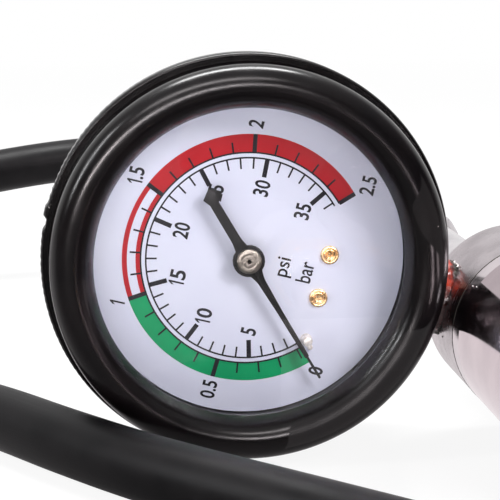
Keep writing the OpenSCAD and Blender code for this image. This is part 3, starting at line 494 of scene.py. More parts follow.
# %% Pointer
POINTER_H, POINTER_T, POINTER_REST = 2.0, 0.5, 135
HUB_R, TAIL = 3.1, 16
blade_side = [(0.16, 27.2), (0.26, 26.9), (0.24, 22.3), (0.44, 22.1), (0.52, 12), (0.78, 4.4, 1)]
for k in range(9):
    angle = math.radians(66 - 132 * k / 8)
    blade_side.append((HUB_R * math.cos(angle), HUB_R * math.sin(angle)))
blade_side.append((0.95, -4.4, 1))
tail = [(0.87, 3 - TAIL), (1.45, 1.5 - TAIL), (-0.6, -TAIL), (-2.45, 1.8 - TAIL), (-0.95, 3.2 - TAIL)]
other_side = [(-x, *rest) for x, *rest in reversed(blade_side)]
pointer_outline = rounded_corner(blade_side + tail + other_side, 0.8)
blade = started("pointer_blade", bpy.ops.mesh.primitive_circle_add, vertices=len(pointer_outline),
                radius=MM, fill_type="NGON")
for vertex, (x, y) in zip(blade.data.vertices, pointer_outline):
    vertex.co = (x * MM, y * MM, POINTER_H * MM)
edited((bpy.ops.mesh.extrude_region_move, {"TRANSFORM_OT_translate": {"value": (0, 0, POINTER_T * MM)}}))
closed_up(blade)
shaped(blade, "BEVEL", width=0.05 * MM, segments=2, limit_method="ANGLE", angle_limit=math.radians(50))
boss = lying_rod("boss", 1.5, POINTER_H - 0.8, POINTER_H - 0.005)
blade = joined([blade, boss], "pointer_blade")
pointer_blade = placed(blade, DIAL @ turn_by(POINTER_REST, "Z"), 30)

# %% [markdown]
# ## Small metal on the dial
# The pointer's hub is capped by a turned steel button with a centre hole, two brass screws
# with dished heads hold the dial plate, and a short peg stops the pointer at zero. All are
# lathe work with broken edges; the screws get a crosswise recess cut into their heads.

# %% Hub cap, dial screws and stop peg
hub = spun("hub_cap", rounded_corner(
    [(0, 2.56), (0.3, 2.6), (0.42, 3.22), (1.2, 3.27), (1.28, 3.24), (1.36, 3.27), (1.9, 3.27, 1),
     (2.4, 3.0, 1), (2.45, 2.51), (0, 2.51)], 0.25), 64)
hub_cap = placed(hub, DIAL, 30)

SCREW_X, SCREW_Y = 4.33, -15.3
screw_heads = []
for x in (-SCREW_X, SCREW_X):
    head = spun("screw", rounded_corner(
        [(0, 0.3), (0.5, 0.32), (0.85, 0.55), (1.02, 0.72, 1), (1.18, 0.6), (1.28, 0.46), (1.45, 0.58, 1),
         (1.76, 0.42, 1), (1.8, 0.05), (1.5, 0), (0.95, 0), (0.95, -2.6), (0, -2.6)], 0.12, 3), 48)
    for turn in (20, 110):
        slot_tool = started("slot", bpy.ops.mesh.primitive_cube_add, size=1)
        slot_tool.data.transform(move_by(0, 0, 0.55) @ turn_by(turn, "Z")
                                 @ Matrix.Diagonal((1.2 * MM, 0.26 * MM, 0.9 * MM, 1)))
        cut(head, slot_tool)
    head.data.transform(move_by(x, SCREW_Y, 0))
    screw_heads.append(head)
dial_screw_pair = placed(joined(screw_heads, "dial_screw_pair"), DIAL, 30)

PEG_R, PEG_SIDE = 19.7, -1.6
peg = spun("stop_peg", rounded_corner(
    [(0, 2.75), (0.55, 2.7), (0.9, 2.45), (1, 2.0), (0.72, 1.75), (0.72, 1.45), (1, 1.2), (1, 0.2),
     (1.15, 0), (0.6, 0), (0.6, -0.55), (0, -0.55)], 0.2), 40)
foot_outline = [(0, 0.95), (0.45, 0.9, 1), (0.55, 0.4, 1), (0.5, 0), (0, 0)]
foot = spun("peg_foot", rounded_corner(foot_outline, 0.2), 24)
foot.data.transform(move_by(0.15, 1.7, 0))
peg = joined([peg, foot], "stop_peg")
peg.data.transform(turn_by(POINTER_REST, "Z") @ move_by(PEG_SIDE, PEG_R, 0))
stop_peg = placed(peg, DIAL, 40)

# %% [markdown]
# ## Sealant and swarf on the stem
# Thread sealant was squeezed out of the joint between gauge and pump: an uneven orange-red
# bead with a torn edge, and grime has gathered behind it. Each is a spun ring that a noise
# texture pushes in and out and that is trimmed to the parts it lies on. Chips of plating and
# thread lie round them; each is a small ball that the same noise makes jagged.

# %% Sealant bead and chips
STEM_H = -8
HEAD_MIDDLE = -58.2


def lumpy(piece, size, strength, seed_at):
    cloud = bpy.data.textures.new(piece.name + "_lumps", "CLOUDS")
    cloud.noise_scale = size * MM
    piece.data.transform(Matrix.Translation(Vector(seed_at) * MM))
    shaped(piece, "DISPLACE", texture=cloud, strength=strength * MM, mid_level=0.5)
    piece.data.transform(Matrix.Translation(Vector(seed_at) * -MM))
    return piece


head_tool = lying_rod("head_tool", 17.52, -60, 40, (0, HEAD_MIDDLE, 0), "Z", 128)
inner_tool = lying_rod("inner_tool", 6.53, 38, 60, (0, 0, STEM_H), "-Y", 64)


def squeezed_ring(name, outline, soft, size, strength, seed_at):
    """A ragged ring round the stem, trimmed where the stem and the pump's head are."""
    ring = spun(name, rounded_corner(outline, soft, 3), 140)
    shaped(ring, "SUBSURF", levels=1, render_levels=1)
    lumpy(ring, size, strength, seed_at)
    ring.data.transform(move_by(0, 0, STEM_H) @ turn_by(90, "X"))
    for tool in (head_tool, inner_tool):
        shaped(ring, "BOOLEAN", object=tool, operation="DIFFERENCE", solver="EXACT")
    return placed(closed_up(ring), DIAL, 60)


sealant_bead = squeezed_ring("sealant_bead", [
    (6.52, 39.45), (7.45, 39.5, 1), (7.65, 40.3, 1), (7.55, 41.2, 1), (7.25, 41.6, 1), (6.52, 41.65)],
    0.4, 1.2, 0.5, (0, 0, 0))
stem_grime = squeezed_ring("stem_grime", [
    (6.52, 40.2), (7.1, 40.3), (7.3, 41), (7.6, 41.6), (7.3, 41.9), (7.6, 42.3), (7.3, 42.7), (6.52, 42.8)],
    0.3, 0.6, 0.7, (3, 1, 2))
for tool in (head_tool, inner_tool):
    bpy.data.objects.remove(tool)

CHIPS = [  # across the stem, along the stem, height over the dial, size and stretch, in mm
    (7.4, -41.7, -6.6, 0.4, 1.2), (7.35, -42.1, -5.9, 0.36, 1), (7.1, -42.4, -5.2, 0.4, 1.3),
    (6.9, -42.4, -4.1, 0.32, 1), (6.8, -42.2, -3.2, 0.26, 1.2), (7.5, -42, -4.9, 0.26, 1),
    (6.1, -41.8, 9.2, 0.13, 4.5), (6.4, -41.9, 11.4, 0.12, 3.6), (-5.7, -41.65, -4.5, 0.3, 1),
    (-6.3, -41.85, -3.4, 0.26, 1.2), (-6.5, -41.95, -5.6, 0.3, 1), (-6.8, -42.05, -1.9, 0.2, 1.6),
]
chips = []
for i, (x, y, h, size, stretch) in enumerate(CHIPS):
    chip = started("chip", bpy.ops.mesh.primitive_ico_sphere_add, subdivisions=3, radius=size * MM)
    chip.data.transform(Matrix.Rotation(0.9 * i, 4, "Z") @ Matrix.Diagonal((1, 0.6, 0.75 * stretch, 1)))
    lumpy(chip, 0.35, 1.1 * size, (5 * i, 3 * i, i))
    chip.data.transform(move_by(x, y, h))
    chips.append(chip)
thread_chips = placed(joined(chips, "thread_chips"), DIAL, 20)

# %% [markdown]
# The barrel screws into the head, and years of handling have left a thin dark line of dirt in
# the joint. It is a flat band, hardly proud of the chrome.

# %% Dirt in the seam
SEAM_H = 6.8
seam_outline = [(17.3, -0.27), (17.515, -0.22), (17.53, 0), (17.515, 0.22), (17.3, 0.27)]
seam_dirt = placed(spun("seam_dirt", [(r, SEAM_H + h) for r, h in seam_outline], 180), PUMP, 30)

# %% [markdown]
# ## Fittings along the hose
# The long nipple, the two crimped ferrules and the release valve are turned from hexagon bar:
# a hexagon whose corners were chamfered on the lathe, then plain round lengths. A nut is the
# overlap of a six-sided bar and a chamfered disc. The ferrules show the eight dents of the
# crimping tool, made by drawing in the skin between them.

# %% Nut and crimp helpers
def nut(name, flats, start, end, bore=0.0):
    """A hexagon with lathe-turned corners, along the upright axis."""
    corner = flats / 2 / math.cos(math.pi / 6)
    hexagon = started(name, bpy.ops.mesh.primitive_cylinder_add, vertices=6, radius=corner * MM,
                      depth=(end - start) * MM)
    hexagon.data.transform(move_by(0, 0, (start + end) / 2) @ turn_by(30, "Z"))
    drop = (corner - flats / 2) * 0.62
    disc = spun("disc", [(bore, start - 0.01), (flats / 2 - 0.1, start - 0.01), (corner + 0.1, start + drop),
                         (corner + 0.1, end - drop), (flats / 2 - 0.1, end + 0.01), (bore, end + 0.01)], 96)
    return cut(hexagon, disc, "INTERSECT")


CRIMP_DEPTH = 0.3


def crimped(name, start, end, dents=8):
    """A ferrule with bands of dents round it, and a bore for the hose."""
    wide, bore, neck = 7.5, 6.3, 4.85
    outline = [(bore, start), (wide - 0.5, start), (wide, start + 0.5)]
    for part in (0.22, 0.46, 0.7):
        middle = start + (end - start) * part
        outline += [(wide, middle - 2.1), (wide + 0.15, middle - 1.6), (wide - 0.25, middle - 1.1),
                    (wide - 0.25, middle + 1.1), (wide + 0.15, middle + 1.6), (wide, middle + 2.1)]
    outline += [(wide - 0.1, end - 3.4), (wide - 0.5, end - 2.9), (5.9, end - 0.3), (5.6, end), (neck, end),
                (neck, start + 15), (bore, start + 15)]
    piece = spun(name, outline, 128)
    for vertex in piece.data.vertices:
        r = math.hypot(vertex.co.x, vertex.co.y)
        if r < (wide - 0.3) * MM or not start + 2 < vertex.co.z / MM < end - 1.5:
            continue
        turn = math.atan2(vertex.co.y, vertex.co.x) * dents / 2
        pushed_out(vertex, -CRIMP_DEPTH * abs(math.cos(turn)) ** 1.5)
    return piece


# %% Nipple and ferrules
nipple_round = spun("nipple", [
    (1.5, -9.7), (4.4, -9.7), (4.9, -10.2), (4.9, -17.1), (6.6, -17.1), (6.6, -23.9), (5.8, -24.4),
    (5.8, -44), (5.65, -44.2), (5.65, -44.8), (5.8, -45), (5.8, -84.6), (5.4, -85), (4.75, -85.2),
    (4.75, -92), (1.5, -92)], 72)
nipple_nut = cut(nut("nipple_nut", 14, -24, -17), lying_rod("bore", 6.55, -30, -10))
long_nipple = placed(joined([nipple_round, nipple_nut], "long_nipple"), PUMP, 30)
FERRULE_LEN, HEAD_FERRULE_AT, COUPLER_FERRULE_AT = 21.95, -107, 105
head_crimp = placed(crimped("head_crimp", 0, FERRULE_LEN), PUMP @ move_by(0, 0, HEAD_FERRULE_AT), 30)
coupler_crimp = placed(crimped("coupler_crimp", 0, FERRULE_LEN),
                       COUPLER @ move_by(0, 0, COUPLER_FERRULE_AT), 30)

# %% [markdown]
# The release valve slopes down from the head until its rim meets the table. Its length follows
# from the height of the pump over the table and from its slope.

# %% Release valve
VALVE_SLOPE = LEAN + math.radians(30)
VALVE_R = 5.5
VALVE_TOP = (PUMP_AT.z / MM - VALVE_R * math.cos(VALVE_SLOPE)) / math.sin(VALVE_SLOPE)
release_nut = cut(nut("release_nut", 12, 17, 21), lying_rod("bore", 3.2, 10, 30))
release_round = spun("release_round", [
    (1.25, 10.5), (4, 10.5), (4, 17.05), (4.6, 17.05), (4.6, 20.9), (5.4, 21), (5.5, 21.2),
    (5.5, VALVE_TOP - 3), (5.25, VALVE_TOP - 2.8), (5.25, VALVE_TOP - 2.4), (5.5, VALVE_TOP - 2.2),
    (5.5, VALVE_TOP - 0.02), (2.95, VALVE_TOP - 0.02), (2.95, VALVE_TOP - 8), (1.25, VALVE_TOP - 8)], 64)
release_body = placed(joined([release_nut, release_round], "release_body"), VALVE, 30)
knob_outline = [(0, VALVE_TOP + 1.8), (2.7, VALVE_TOP + 1.75, 1), (2.8, VALVE_TOP + 1.2),
                (2.8, VALVE_TOP - 4.2), (1.2, VALVE_TOP - 4.2), (1.2, 11.4), (0, 11.4)]
release_knob = placed(spun("release_knob", rounded_corner(knob_outline, 0.6), 48), VALVE, 40)

# %% [markdown]
# ## The quick coupler
# The coupler's brass body ends in a nose that takes the plug of an adapter. A steel collar
# slides back on it to let the plug go; the band of crossed grooves gives fingers a hold. That
# knurl is real geometry: every other point of a fine net on the collar is raised.

# %% Coupler
coupler_nut = cut(nut("coupler_nut", 18, 127, 130), lying_rod("bore", 6.2, 120, 140))
coupler_round = spun("coupler_round", [
    (3, 120), (4.7, 120), (4.7, 127.1), (8.1, 127.1), (8.1, 130), (8.25, 130.2), (8.25, 162),
    (7.75, 162.5), (6.6, 162.5), (6.1, 162), (6.1, 157.5), (6.3, 157.4), (6.3, 149.5), (4.3, 149.4),
    (4.3, 141.5), (3, 141.4)], 96)
BALLS, BALL_HOLE_R, BALL_H = 6, 1.55, 155.9
for k in range(BALLS):
    ball_hole = lying_rod("ball_hole", BALL_HOLE_R, 5, 10, (0, 0, BALL_H), "X", 24)
    ball_hole.data.transform(turn_by(360 / BALLS * k, "Z"))
    cut(coupler_round, ball_hole)
coupler_shell = placed(joined([coupler_round, coupler_nut], "coupler_shell"), COUPLER, 30)

KNURL_COLUMNS, KNURL_PITCH, KNURL_RISE = 104, 0.72, 0.28
KNURL_ROWS = [141 + KNURL_PITCH * k for k in range(17)]
below_knurl = [(9.35, 135), (11.4, 135), (11.8, 135.4), (11.8, 137.6), (11.2, 138.2), (11.2, 139.6),
               (11.7, 140.2)]
above_knurl = [(11.7, 153.4), (11.2, 154), (11.2, 155.4), (11.8, 156), (12, 156.6), (12, 160.4),
               (11.5, 161), (9.35, 161), (9.35, 157.8), (8.4, 157.6), (8.4, 152.5), (9.35, 152.3)]
collar = spun("coupler_collar", below_knurl + [(11.72, h) for h in KNURL_ROWS] + above_knurl,
              KNURL_COLUMNS)
for vertex in collar.data.vertices:
    r, h = math.hypot(vertex.co.x, vertex.co.y), vertex.co.z / MM
    if r < 11.5 * MM or not KNURL_ROWS[0] + 0.1 < h < KNURL_ROWS[-1] - 0.1:
        continue
    row = round((h - KNURL_ROWS[0]) / KNURL_PITCH)
    column = round(math.atan2(vertex.co.y, vertex.co.x) / (2 * math.pi) * KNURL_COLUMNS)
    if (row + column) % 2:
        pushed_out(vertex, KNURL_RISE)
coupler_collar = placed(collar, COUPLER, 25)

# %% [markdown]
# ## The cap and the handle
# A plastic cap with flutes for the fingers closes the barrel. One flute is a rounded rod; the
# spin tool sets the others round the axis, and all are subtracted at once.

# %% Barrel cap
CAP_H, CAP_END, FLUTES = 171.8, 185.8, 24
cap_outline = [(5.6, CAP_H), (15.0, CAP_H), (16, CAP_H + 0.02), (18.2, CAP_H + 0.05),
               (18.5, CAP_H + 0.4), (18.5, CAP_END - 2, 1), (16.8, CAP_END, 1), (8.6, CAP_END),
               (8.2, CAP_END - 0.5), (5.65, CAP_END - 0.5)]
cap_skin = spun("end_cap", rounded_corner(cap_outline, 1.2, 5), 192)
flute = lying_rod("flute", 1.5, CAP_H + 2, CAP_END - 3, (19.1, 0, 0), "Z", 20)
shaped(flute, "BEVEL", width=1 * MM, segments=3, limit_method="ANGLE")
edited((bpy.ops.mesh.spin, spin_round(FLUTES - 1, 360 * (FLUTES - 1) / FLUTES, copies=True)))
cut(cap_skin, flute)
end_cap = placed(closed_up(cap_skin), PUMP, 35)

# %% [markdown]
# A T grip sits across the rod. It is a spun bar, waved for the fingers, with a neck; voxel
# remeshing melts the two into one skin, and a smoothing pass leaves the soft fillet that a
# moulded grip has where the neck grows out of it.

# %% T grip
GRIP_H, GRIP_HALF, GRIP_END_R, GRIP_WAVE, GRIP_STEPS = 204.8, 44, 14, 1.5, 49
grip_reach = GRIP_HALF + GRIP_END_R
grip_outline = [(0, -grip_reach)]
for k in range(1, GRIP_STEPS):
    along_bar = -grip_reach + 2 * grip_reach * k / GRIP_STEPS
    if abs(along_bar) > GRIP_HALF:
        r = math.sqrt(max(GRIP_END_R ** 2 - (abs(along_bar) - GRIP_HALF) ** 2, 0.01))
    else:
        r = GRIP_END_R - GRIP_WAVE + GRIP_WAVE * math.cos(2 * math.pi * along_bar / GRIP_HALF)
    grip_outline.append((r, along_bar))
grip_outline.append((0, grip_reach))
grip_bar = spun("grip_bar", grip_outline, 64)
grip_bar.data.transform(move_by(0, 0, GRIP_H) @ turn_by(90, "Y"))
neck_outline = [(0, GRIP_H), (9.3, GRIP_H), (9.3, 193), (9.5, 192), (9.5, 190), (9.1, 188.8), (0, 188.8)]
neck = spun("neck", neck_outline, 64)
grip = joined([grip_bar, neck], "t_grip")
shaped(grip, "REMESH", mode="VOXEL", voxel_size=0.8 * MM)
shaped(grip, "SMOOTH", factor=0.5, iterations=6)
cut(grip, lying_rod("rod_bore", 4.02, 180, 208.8))
cut(grip, lying_rod("screw_bore", 5.2, GRIP_H + 7.6, 230))
t_grip = placed(grip, PUMP, 50)

# %% [markdown]
# ## Coil springs
# Three coil springs work out of sight: behind the check ball, under the release knob and under
# the coupler's collar. A bevelled curve could draw them, but the Screw modifier winds a wire's
# cross-section round the axis and up it in one step. The modifier leaves the wire's two cut
# ends open, so these are filled.

# %% Coil springs
COILS = [  # name, frame, coil and wire radius, start, end in mm, turns, joint, its travel in mm
    ("check_coil", PUMP, 1.5, 0.25, -9.42, -2.62, 5, "check_ball_lift", 1.5),
    ("release_coil", VALVE, 2.1, 0.3, 22.12, 25.74, 3, "release_press", 1.5),
    ("collar_coil", COUPLER, 8.9, 0.45, 130.11, 152.29, 6, "sleeve_slide", 4),
]
coils = []
for name, place, r, wire, start, end, turns, joint, travel in COILS:
    coil = started(name, bpy.ops.mesh.primitive_circle_add, vertices=10, radius=wire * MM)
    coil.data.transform(move_by(r, 0, start + wire) @ turn_by(90, "X"))
    shaped(coil, "SCREW", axis="Z", angle=math.radians(360), iterations=turns, steps=24, render_steps=24,
           screw_offset=(end - start - 2 * wire) / turns * MM)
    edited(*CLOSE_ENDS)
    coils.append(placed(closed_up(coil), place, 40))
check_coil, release_coil, collar_coil = coils

# %% [markdown]
# ## Finishes
# Each finish starts from one shader. Its colour, its roughness and a fine relief vary with
# noise in the space of the object, because nothing real is even: rubber gathers dust and
# shines where it is handled, plating has smears and hairlines, paint and print have grain.

# %% Finish helpers
def rgb(red, green, blue):
    """A colour as it is read off a picture, made linear for the shader."""
    return tuple((c / 255 / 12.92 if c < 10.3 else ((c / 255 + 0.055) / 1.055) ** 2.4)
                 for c in (red, green, blue)) + (1.0,)


def add(tree, kind, *values, **settings):
    """A node with some of its settings; values go to its inputs in order, None skips one."""
    node = tree.nodes.new(kind)
    for key, value in settings.items():
        setattr(node, key, value)
    for socket, value in zip(node.inputs, values):
        if isinstance(value, bpy.types.NodeSocket):
            tree.links.new(value, socket)
        elif value is not None:
            socket.default_value = value
    return node


def sum_of(tree, operation, *values):
    return add(tree, "ShaderNodeMath", *values, operation=operation).outputs[0]


def spread(tree, value, low, high, out_low, out_high):
    return add(tree, "ShaderNodeMapRange", value, low, high, out_low, out_high).outputs[0]


def noise(tree, where, scale, detail=4.0, rough=0.55):
    node = add(tree, "ShaderNodeTexNoise", where)
    for key, value in (("Scale", scale), ("Detail", detail), ("Roughness", rough)):
        node.inputs[key].default_value = value
    return node.outputs[0]


def mixed(tree, amount, first, second):
    node = add(tree, "ShaderNodeMix", data_type="RGBA")
    for index, value in ((0, amount), (6, first), (7, second)):
        if isinstance(value, bpy.types.NodeSocket):
            tree.links.new(value, node.inputs[index])
        else:
            node.inputs[index].default_value = value
    return node.outputs[2]


def blank(name):
    material = bpy.data.materials.new(name)
    material.use_nodes = True
    tree = material.node_tree
    shader = tree.nodes["Principled BSDF"]
    where = tree.nodes.new("ShaderNodeTexCoord").outputs["Object"]
    return material, tree, shader, where


def in_frame(tree, where, place):
    """Object coordinates, turned into one of the frames of reference."""
    back = place.inverted()
    return add(tree, "ShaderNodeMapping", where, tuple(back.translation),
               tuple(back.to_euler())).outputs[0]


def from_axis(tree, x, y):
    return sum_of(tree, "SQRT", sum_of(tree, "ADD", sum_of(tree, "MULTIPLY", x, x),
                                       sum_of(tree, "MULTIPLY", y, y)))


def round_the_axis(tree, where, place, scale):
    """Noise that changes only with radius and height, as a lathe tool leaves it."""
    x, y, z = add(tree, "ShaderNodeSeparateXYZ", in_frame(tree, where, place)).outputs
    line = add(tree, "ShaderNodeCombineXYZ", from_axis(tree, x, y), z).outputs[0]
    return noise(tree, line, scale, 3)


def specks(tree, where, scale, size, rarity):
    """Small separate dots: 1 inside a dot and 0 elsewhere."""
    cells = add(tree, "ShaderNodeTexVoronoi", where, None, scale)
    dots = sum_of(tree, "LESS_THAN", cells.outputs["Distance"], size)
    kept = sum_of(tree, "GREATER_THAN", add(tree, "ShaderNodeSeparateColor",
                                            cells.outputs["Color"]).outputs[0], rarity)
    return sum_of(tree, "MULTIPLY", dots, kept)


def relief(tree, shader, height, depth):
    bump = tree.nodes.new("ShaderNodeBump")
    bump.inputs["Distance"].default_value = depth * MM
    bump.inputs["Strength"].default_value = 1
    tree.links.new(height, bump.inputs["Height"])
    tree.links.new(bump.outputs[0], shader.inputs["Normal"])


def finish(name, colour, other, rough, grain, depth, metal=0.0, spot=None, turned=None, shine=0.5,
           coat=0.0, patches=60.0):
    """The common finish: two colours in soft patches, a range of roughness and a fine relief."""
    material, tree, shader, where = blank(name)
    patch = spread(tree, noise(tree, where, patches), 0.35, 0.68, 0, 1)
    tint = mixed(tree, patch, rgb(*colour), rgb(*other))
    if spot:
        spot_colour, scale, size, rarity = spot
        tint = mixed(tree, specks(tree, where, scale, size, rarity), tint, rgb(*spot_colour))
    tree.links.new(tint, shader.inputs["Base Color"])
    fine = noise(tree, where, grain, 5)
    if turned:
        fine = sum_of(tree, "ADD", fine, round_the_axis(tree, where, turned[0], turned[1]))
        smear = spread(tree, sum_of(tree, "ADD", noise(tree, where, patches * 2.3), fine),
                       0.9, 2.0, rough[0], rough[1])
    else:
        smear = spread(tree, noise(tree, where, patches * 2.3), 0.3, 0.7, rough[0], rough[1])
    tree.links.new(smear, shader.inputs["Roughness"])
    relief(tree, shader, fine, depth)
    shader.inputs["Metallic"].default_value = metal
    shader.inputs["Specular IOR Level"].default_value = shine
    shader.inputs["Coat Weight"].default_value = coat
    return material


def overlaid(material, colour, mask):
    """Lays one more colour over a finish, where a mask of the dial's coordinates is 1."""
    tree = material.node_tree
    base = tree.nodes["Principled BSDF"].inputs["Base Color"]
    own_colour = base.links[0].from_socket
    where = tree.nodes.new("ShaderNodeTexCoord").outputs["Object"]
    x, y, z = add(tree, "ShaderNodeSeparateXYZ", in_frame(tree, where, DIAL)).outputs
    tree.links.new(mixed(tree, mask(tree, where, x, y), own_colour, rgb(*colour)), base)


# %% [markdown]
# ### Rubber
# The boot is soft black rubber with a satin skin. It is nearly black, turns faintly brown
# where light grazes it, carries a few specks of dust, and its relief is only hundredths of
# a millimetre. The hose is smoother; its fine lines follow its length, so they read the
# tube's own texture coordinates.

# %% Rubber finishes
boot_rubber = finish("boot_rubber", (8, 6, 8), (15, 11, 12), (0.19, 0.27), 2600, 0.004,
                     spot=((120, 112, 110), 520, 0.07, 0.98), shine=0.26, patches=90)
boot_shader = boot_rubber.node_tree.nodes["Principled BSDF"]
boot_shader.inputs["Sheen Weight"].default_value = 0.01
boot_shader.inputs["Sheen Roughness"].default_value = 0.4
boot_shader.inputs["Sheen Tint"].default_value = rgb(180, 120, 105)

hose_rubber, tree, shader, where = blank("hose_rubber")
along = tree.nodes.new("ShaderNodeUVMap").outputs[0]
stretch = add(tree, "ShaderNodeMapping", along, None, None, (6, 90, 1)).outputs[0]
lines = noise(tree, stretch, 3, 5)
mottle = noise(tree, where, 120, 4)
tree.links.new(mixed(tree, spread(tree, mottle, 0.35, 0.65, 0, 1), rgb(7, 6, 8), rgb(14, 12, 14)),
               shader.inputs["Base Color"])
tree.links.new(spread(tree, sum_of(tree, "ADD", mottle, lines), 0.7, 1.3, 0.36, 0.52),
               shader.inputs["Roughness"])
relief(tree, shader, sum_of(tree, "ADD", lines, noise(tree, where, 2400, 3)), 0.012)
shader.inputs["Specular IOR Level"].default_value = 0.15

seal_rubber = finish("seal_rubber", (16, 16, 17), (30, 30, 31), (0.45, 0.6), 3000, 0.01, shine=0.4)

# %% [markdown]
# ### Chrome, steel, brass and aluminium
# Plated parts mirror the white room, so most of their look is what stands round them. The
# finish adds what the mirror lacks: smears that change its roughness, lathe lines that run
# round its own axis, and pinholes. The cast head is greyer and duller than the barrel. The
# button on the pointer gets painted shade in its centre hole: a dark colour laid over its finish by the
# distance from it.

# %% Metal finishes
chrome_barrel = finish("chrome_barrel", (212, 200, 204), (192, 180, 185), (0.05, 0.18), 900, 0.0025, 1.0,
                       ((95, 80, 78), 330, 0.1, 0.97), (PUMP, 1500), patches=70)
chrome_head = finish("chrome_head", (176, 166, 170), (150, 140, 144), (0.12, 0.32), 1300, 0.006, 1.0,
                     ((80, 66, 64), 420, 0.14, 0.94), (PUMP, 1900), patches=160)
chrome_fitting = finish("chrome_fitting", (218, 212, 214), (190, 184, 188), (0.09, 0.26), 1200, 0.004,
                        1.0, None, (PUMP, 2600), patches=120)
steel = finish("bright_steel", (196, 194, 196), (160, 157, 158), (0.22, 0.42), 1800, 0.006, 1.0,
               None, (DIAL, 5200), patches=300)
collar_steel = finish("collar_steel", (188, 188, 192), (150, 149, 153), (0.22, 0.4), 1500, 0.005, 1.0,
                      ((70, 66, 62), 500, 0.16, 0.93), (COUPLER, 3200), patches=150)
spring_wire = finish("spring_wire", (165, 165, 168), (128, 127, 130), (0.25, 0.45), 2500, 0.006, 1.0,
                     patches=400)
hub_steel = finish("hub_steel", (138, 132, 124), (112, 106, 98), (0.3, 0.46), 1800, 0.006, 1.0,
                   ((60, 54, 48), 800, 0.14, 0.93), (DIAL, 5200), patches=300)
# Painted shade in the centre hole of the button: dark, fading out with the distance from the axis.
overlaid(hub_steel, (20, 16, 14), lambda tree, where, x, y: spread(
    tree, from_axis(tree, x, y), 0.32 * MM, 0.42 * MM, 1, 0))
peg_steel = finish("peg_steel", (240, 234, 230), (196, 182, 172), (0.2, 0.36), 2600, 0.006, 0.2,
                   patches=900)
screw_brass = finish("screw_brass", (250, 218, 172), (218, 172, 120), (0.18, 0.34), 2200, 0.008, 1.0,
                     ((120, 92, 60), 900, 0.16, 0.92), patches=500)
brass = finish("brass", (222, 178, 98), (186, 138, 66), (0.2, 0.38), 1800, 0.006, 1.0,
               ((110, 74, 36), 650, 0.15, 0.93), (DIAL, 4200), patches=260)
smeared_brass = finish("smeared_brass", (120, 62, 36), (62, 26, 18), (0.4, 0.6), 1800, 0.02, 0.8,
                       ((34, 22, 18), 700, 0.2, 0.85), (DIAL, 3000), patches=500)
coupler_brass = finish("coupler_brass", (214, 176, 104), (176, 134, 70), (0.2, 0.38), 1500, 0.006, 1.0,
                       ((104, 72, 38), 500, 0.15, 0.93), (COUPLER, 3400), patches=180)
aluminium = finish("aluminium", (204, 205, 208), (178, 179, 183), (0.25, 0.42), 1500, 0.006, 1.0,
                   None, (PUMP, 2600), patches=140)
plate_chips = finish("plate_chips", (250, 246, 244), (206, 196, 192), (0.2, 0.45), 3500, 0.02, 0.15,
                     patches=1500)

# %% [markdown]
# ### Paint, print and plastic
# The dial plate is white enamel with a cold tint, and its printed colours sit on it with a
# slight unevenness, as screen print does. The case is black enamel with a faint orange-peel
# skin. The moulded parts have the fine spark-eroded texture of their mould. The sealant is
# bright only on its lit side; painted shade makes it dark red on the side away from the light, and it is
# darker towards the pump's head.

# %% Paint, print and plastic finishes
dial_white = finish("dial_white", (224, 225, 240), (217, 218, 236), (0.42, 0.55), 1600, 0.002,
                    spot=((60, 58, 66), 420, 0.075, 0.985), shine=0.35, patches=45)
INK = {"rough": (0.38, 0.5), "grain": 2600, "depth": 0.003, "shine": 0.15}
ink_red = finish("ink_red", (190, 22, 33), (176, 17, 28), patches=120, **INK)
ink_green = finish("ink_green", (4, 160, 100), (2, 148, 92), patches=120, **INK)
ink_black = finish("ink_black", (22, 20, 26), (32, 29, 36), patches=400, **INK)
pointer_paint = finish("pointer_paint", (9, 8, 9), (17, 15, 16), (0.4, 0.55), 3000, 0.01,
                       spot=((90, 86, 84), 900, 0.1, 0.96), shine=0.2, patches=300)
case_enamel = finish("case_enamel", (18, 18, 20), (28, 28, 31), (0.25, 0.4), 700, 0.01,
                     spot=((70, 66, 64), 300, 0.08, 0.95), shine=0.5, patches=80)
grip_plastic = finish("grip_plastic", (20, 20, 21), (32, 31, 32), (0.38, 0.52), 1900, 0.035,
                      spot=((80, 78, 76), 380, 0.08, 0.96), shine=0.45, patches=70)
cap_plastic = finish("cap_plastic", (28, 28, 29), (42, 41, 42), (0.48, 0.62), 1700, 0.04,
                     spot=((84, 82, 80), 380, 0.08, 0.96), shine=0.45, patches=70)
knob_plastic = finish("knob_plastic", (178, 34, 28), (150, 24, 20), (0.28, 0.42), 1900, 0.01,
                      shine=0.5, patches=200)
sealant = finish("sealant", (196, 54, 20), (118, 20, 8), (0.2, 0.45), 1400, 0.05, shine=0.5, patches=420)
sealant_shader = sealant.node_tree.nodes["Principled BSDF"]
sealant_shader.inputs["Subsurface Weight"].default_value = 0.15
sealant_shader.inputs["Subsurface Radius"].default_value = (0.002, 0.0006, 0.0003)
grime = finish("grime", (62, 58, 50), (24, 22, 22), (0.5, 0.75), 2600, 0.06, shine=0.3,
               spot=((150, 144, 132), 1300, 0.2, 0.9), patches=900)


def soiled(tree, where, x, y):
    """Where the bead is painted darker: painted shade on the side turned away from the light, and darker
    towards the pump's head.
    """
    wander = sum_of(tree, "MULTIPLY", noise(tree, where, 700), 0.004)
    far_side = spread(tree, sum_of(tree, "ADD", x, wander), 0.0062, 0.003, 0, 1)
    pump_side = spread(tree, sum_of(tree, "ADD", y, wander), -0.0382, -0.0391, 0, 1)
    return sum_of(tree, "MAXIMUM", far_side, pump_side)


# Painted shade: dark red on the bead's side turned away from the light, and darker towards the pump's head.
overlaid(sealant, (58, 8, 8), soiled)

# %% [markdown]
# ### The window
# The window is clear glass. Lamps have to reach the dial through it, and a path tracer counts
# plain glass as opaque to them, so for shadow and diffuse rays it gives way to a transparent
# shader. Faint wiping marks make its reflection a little uneven.

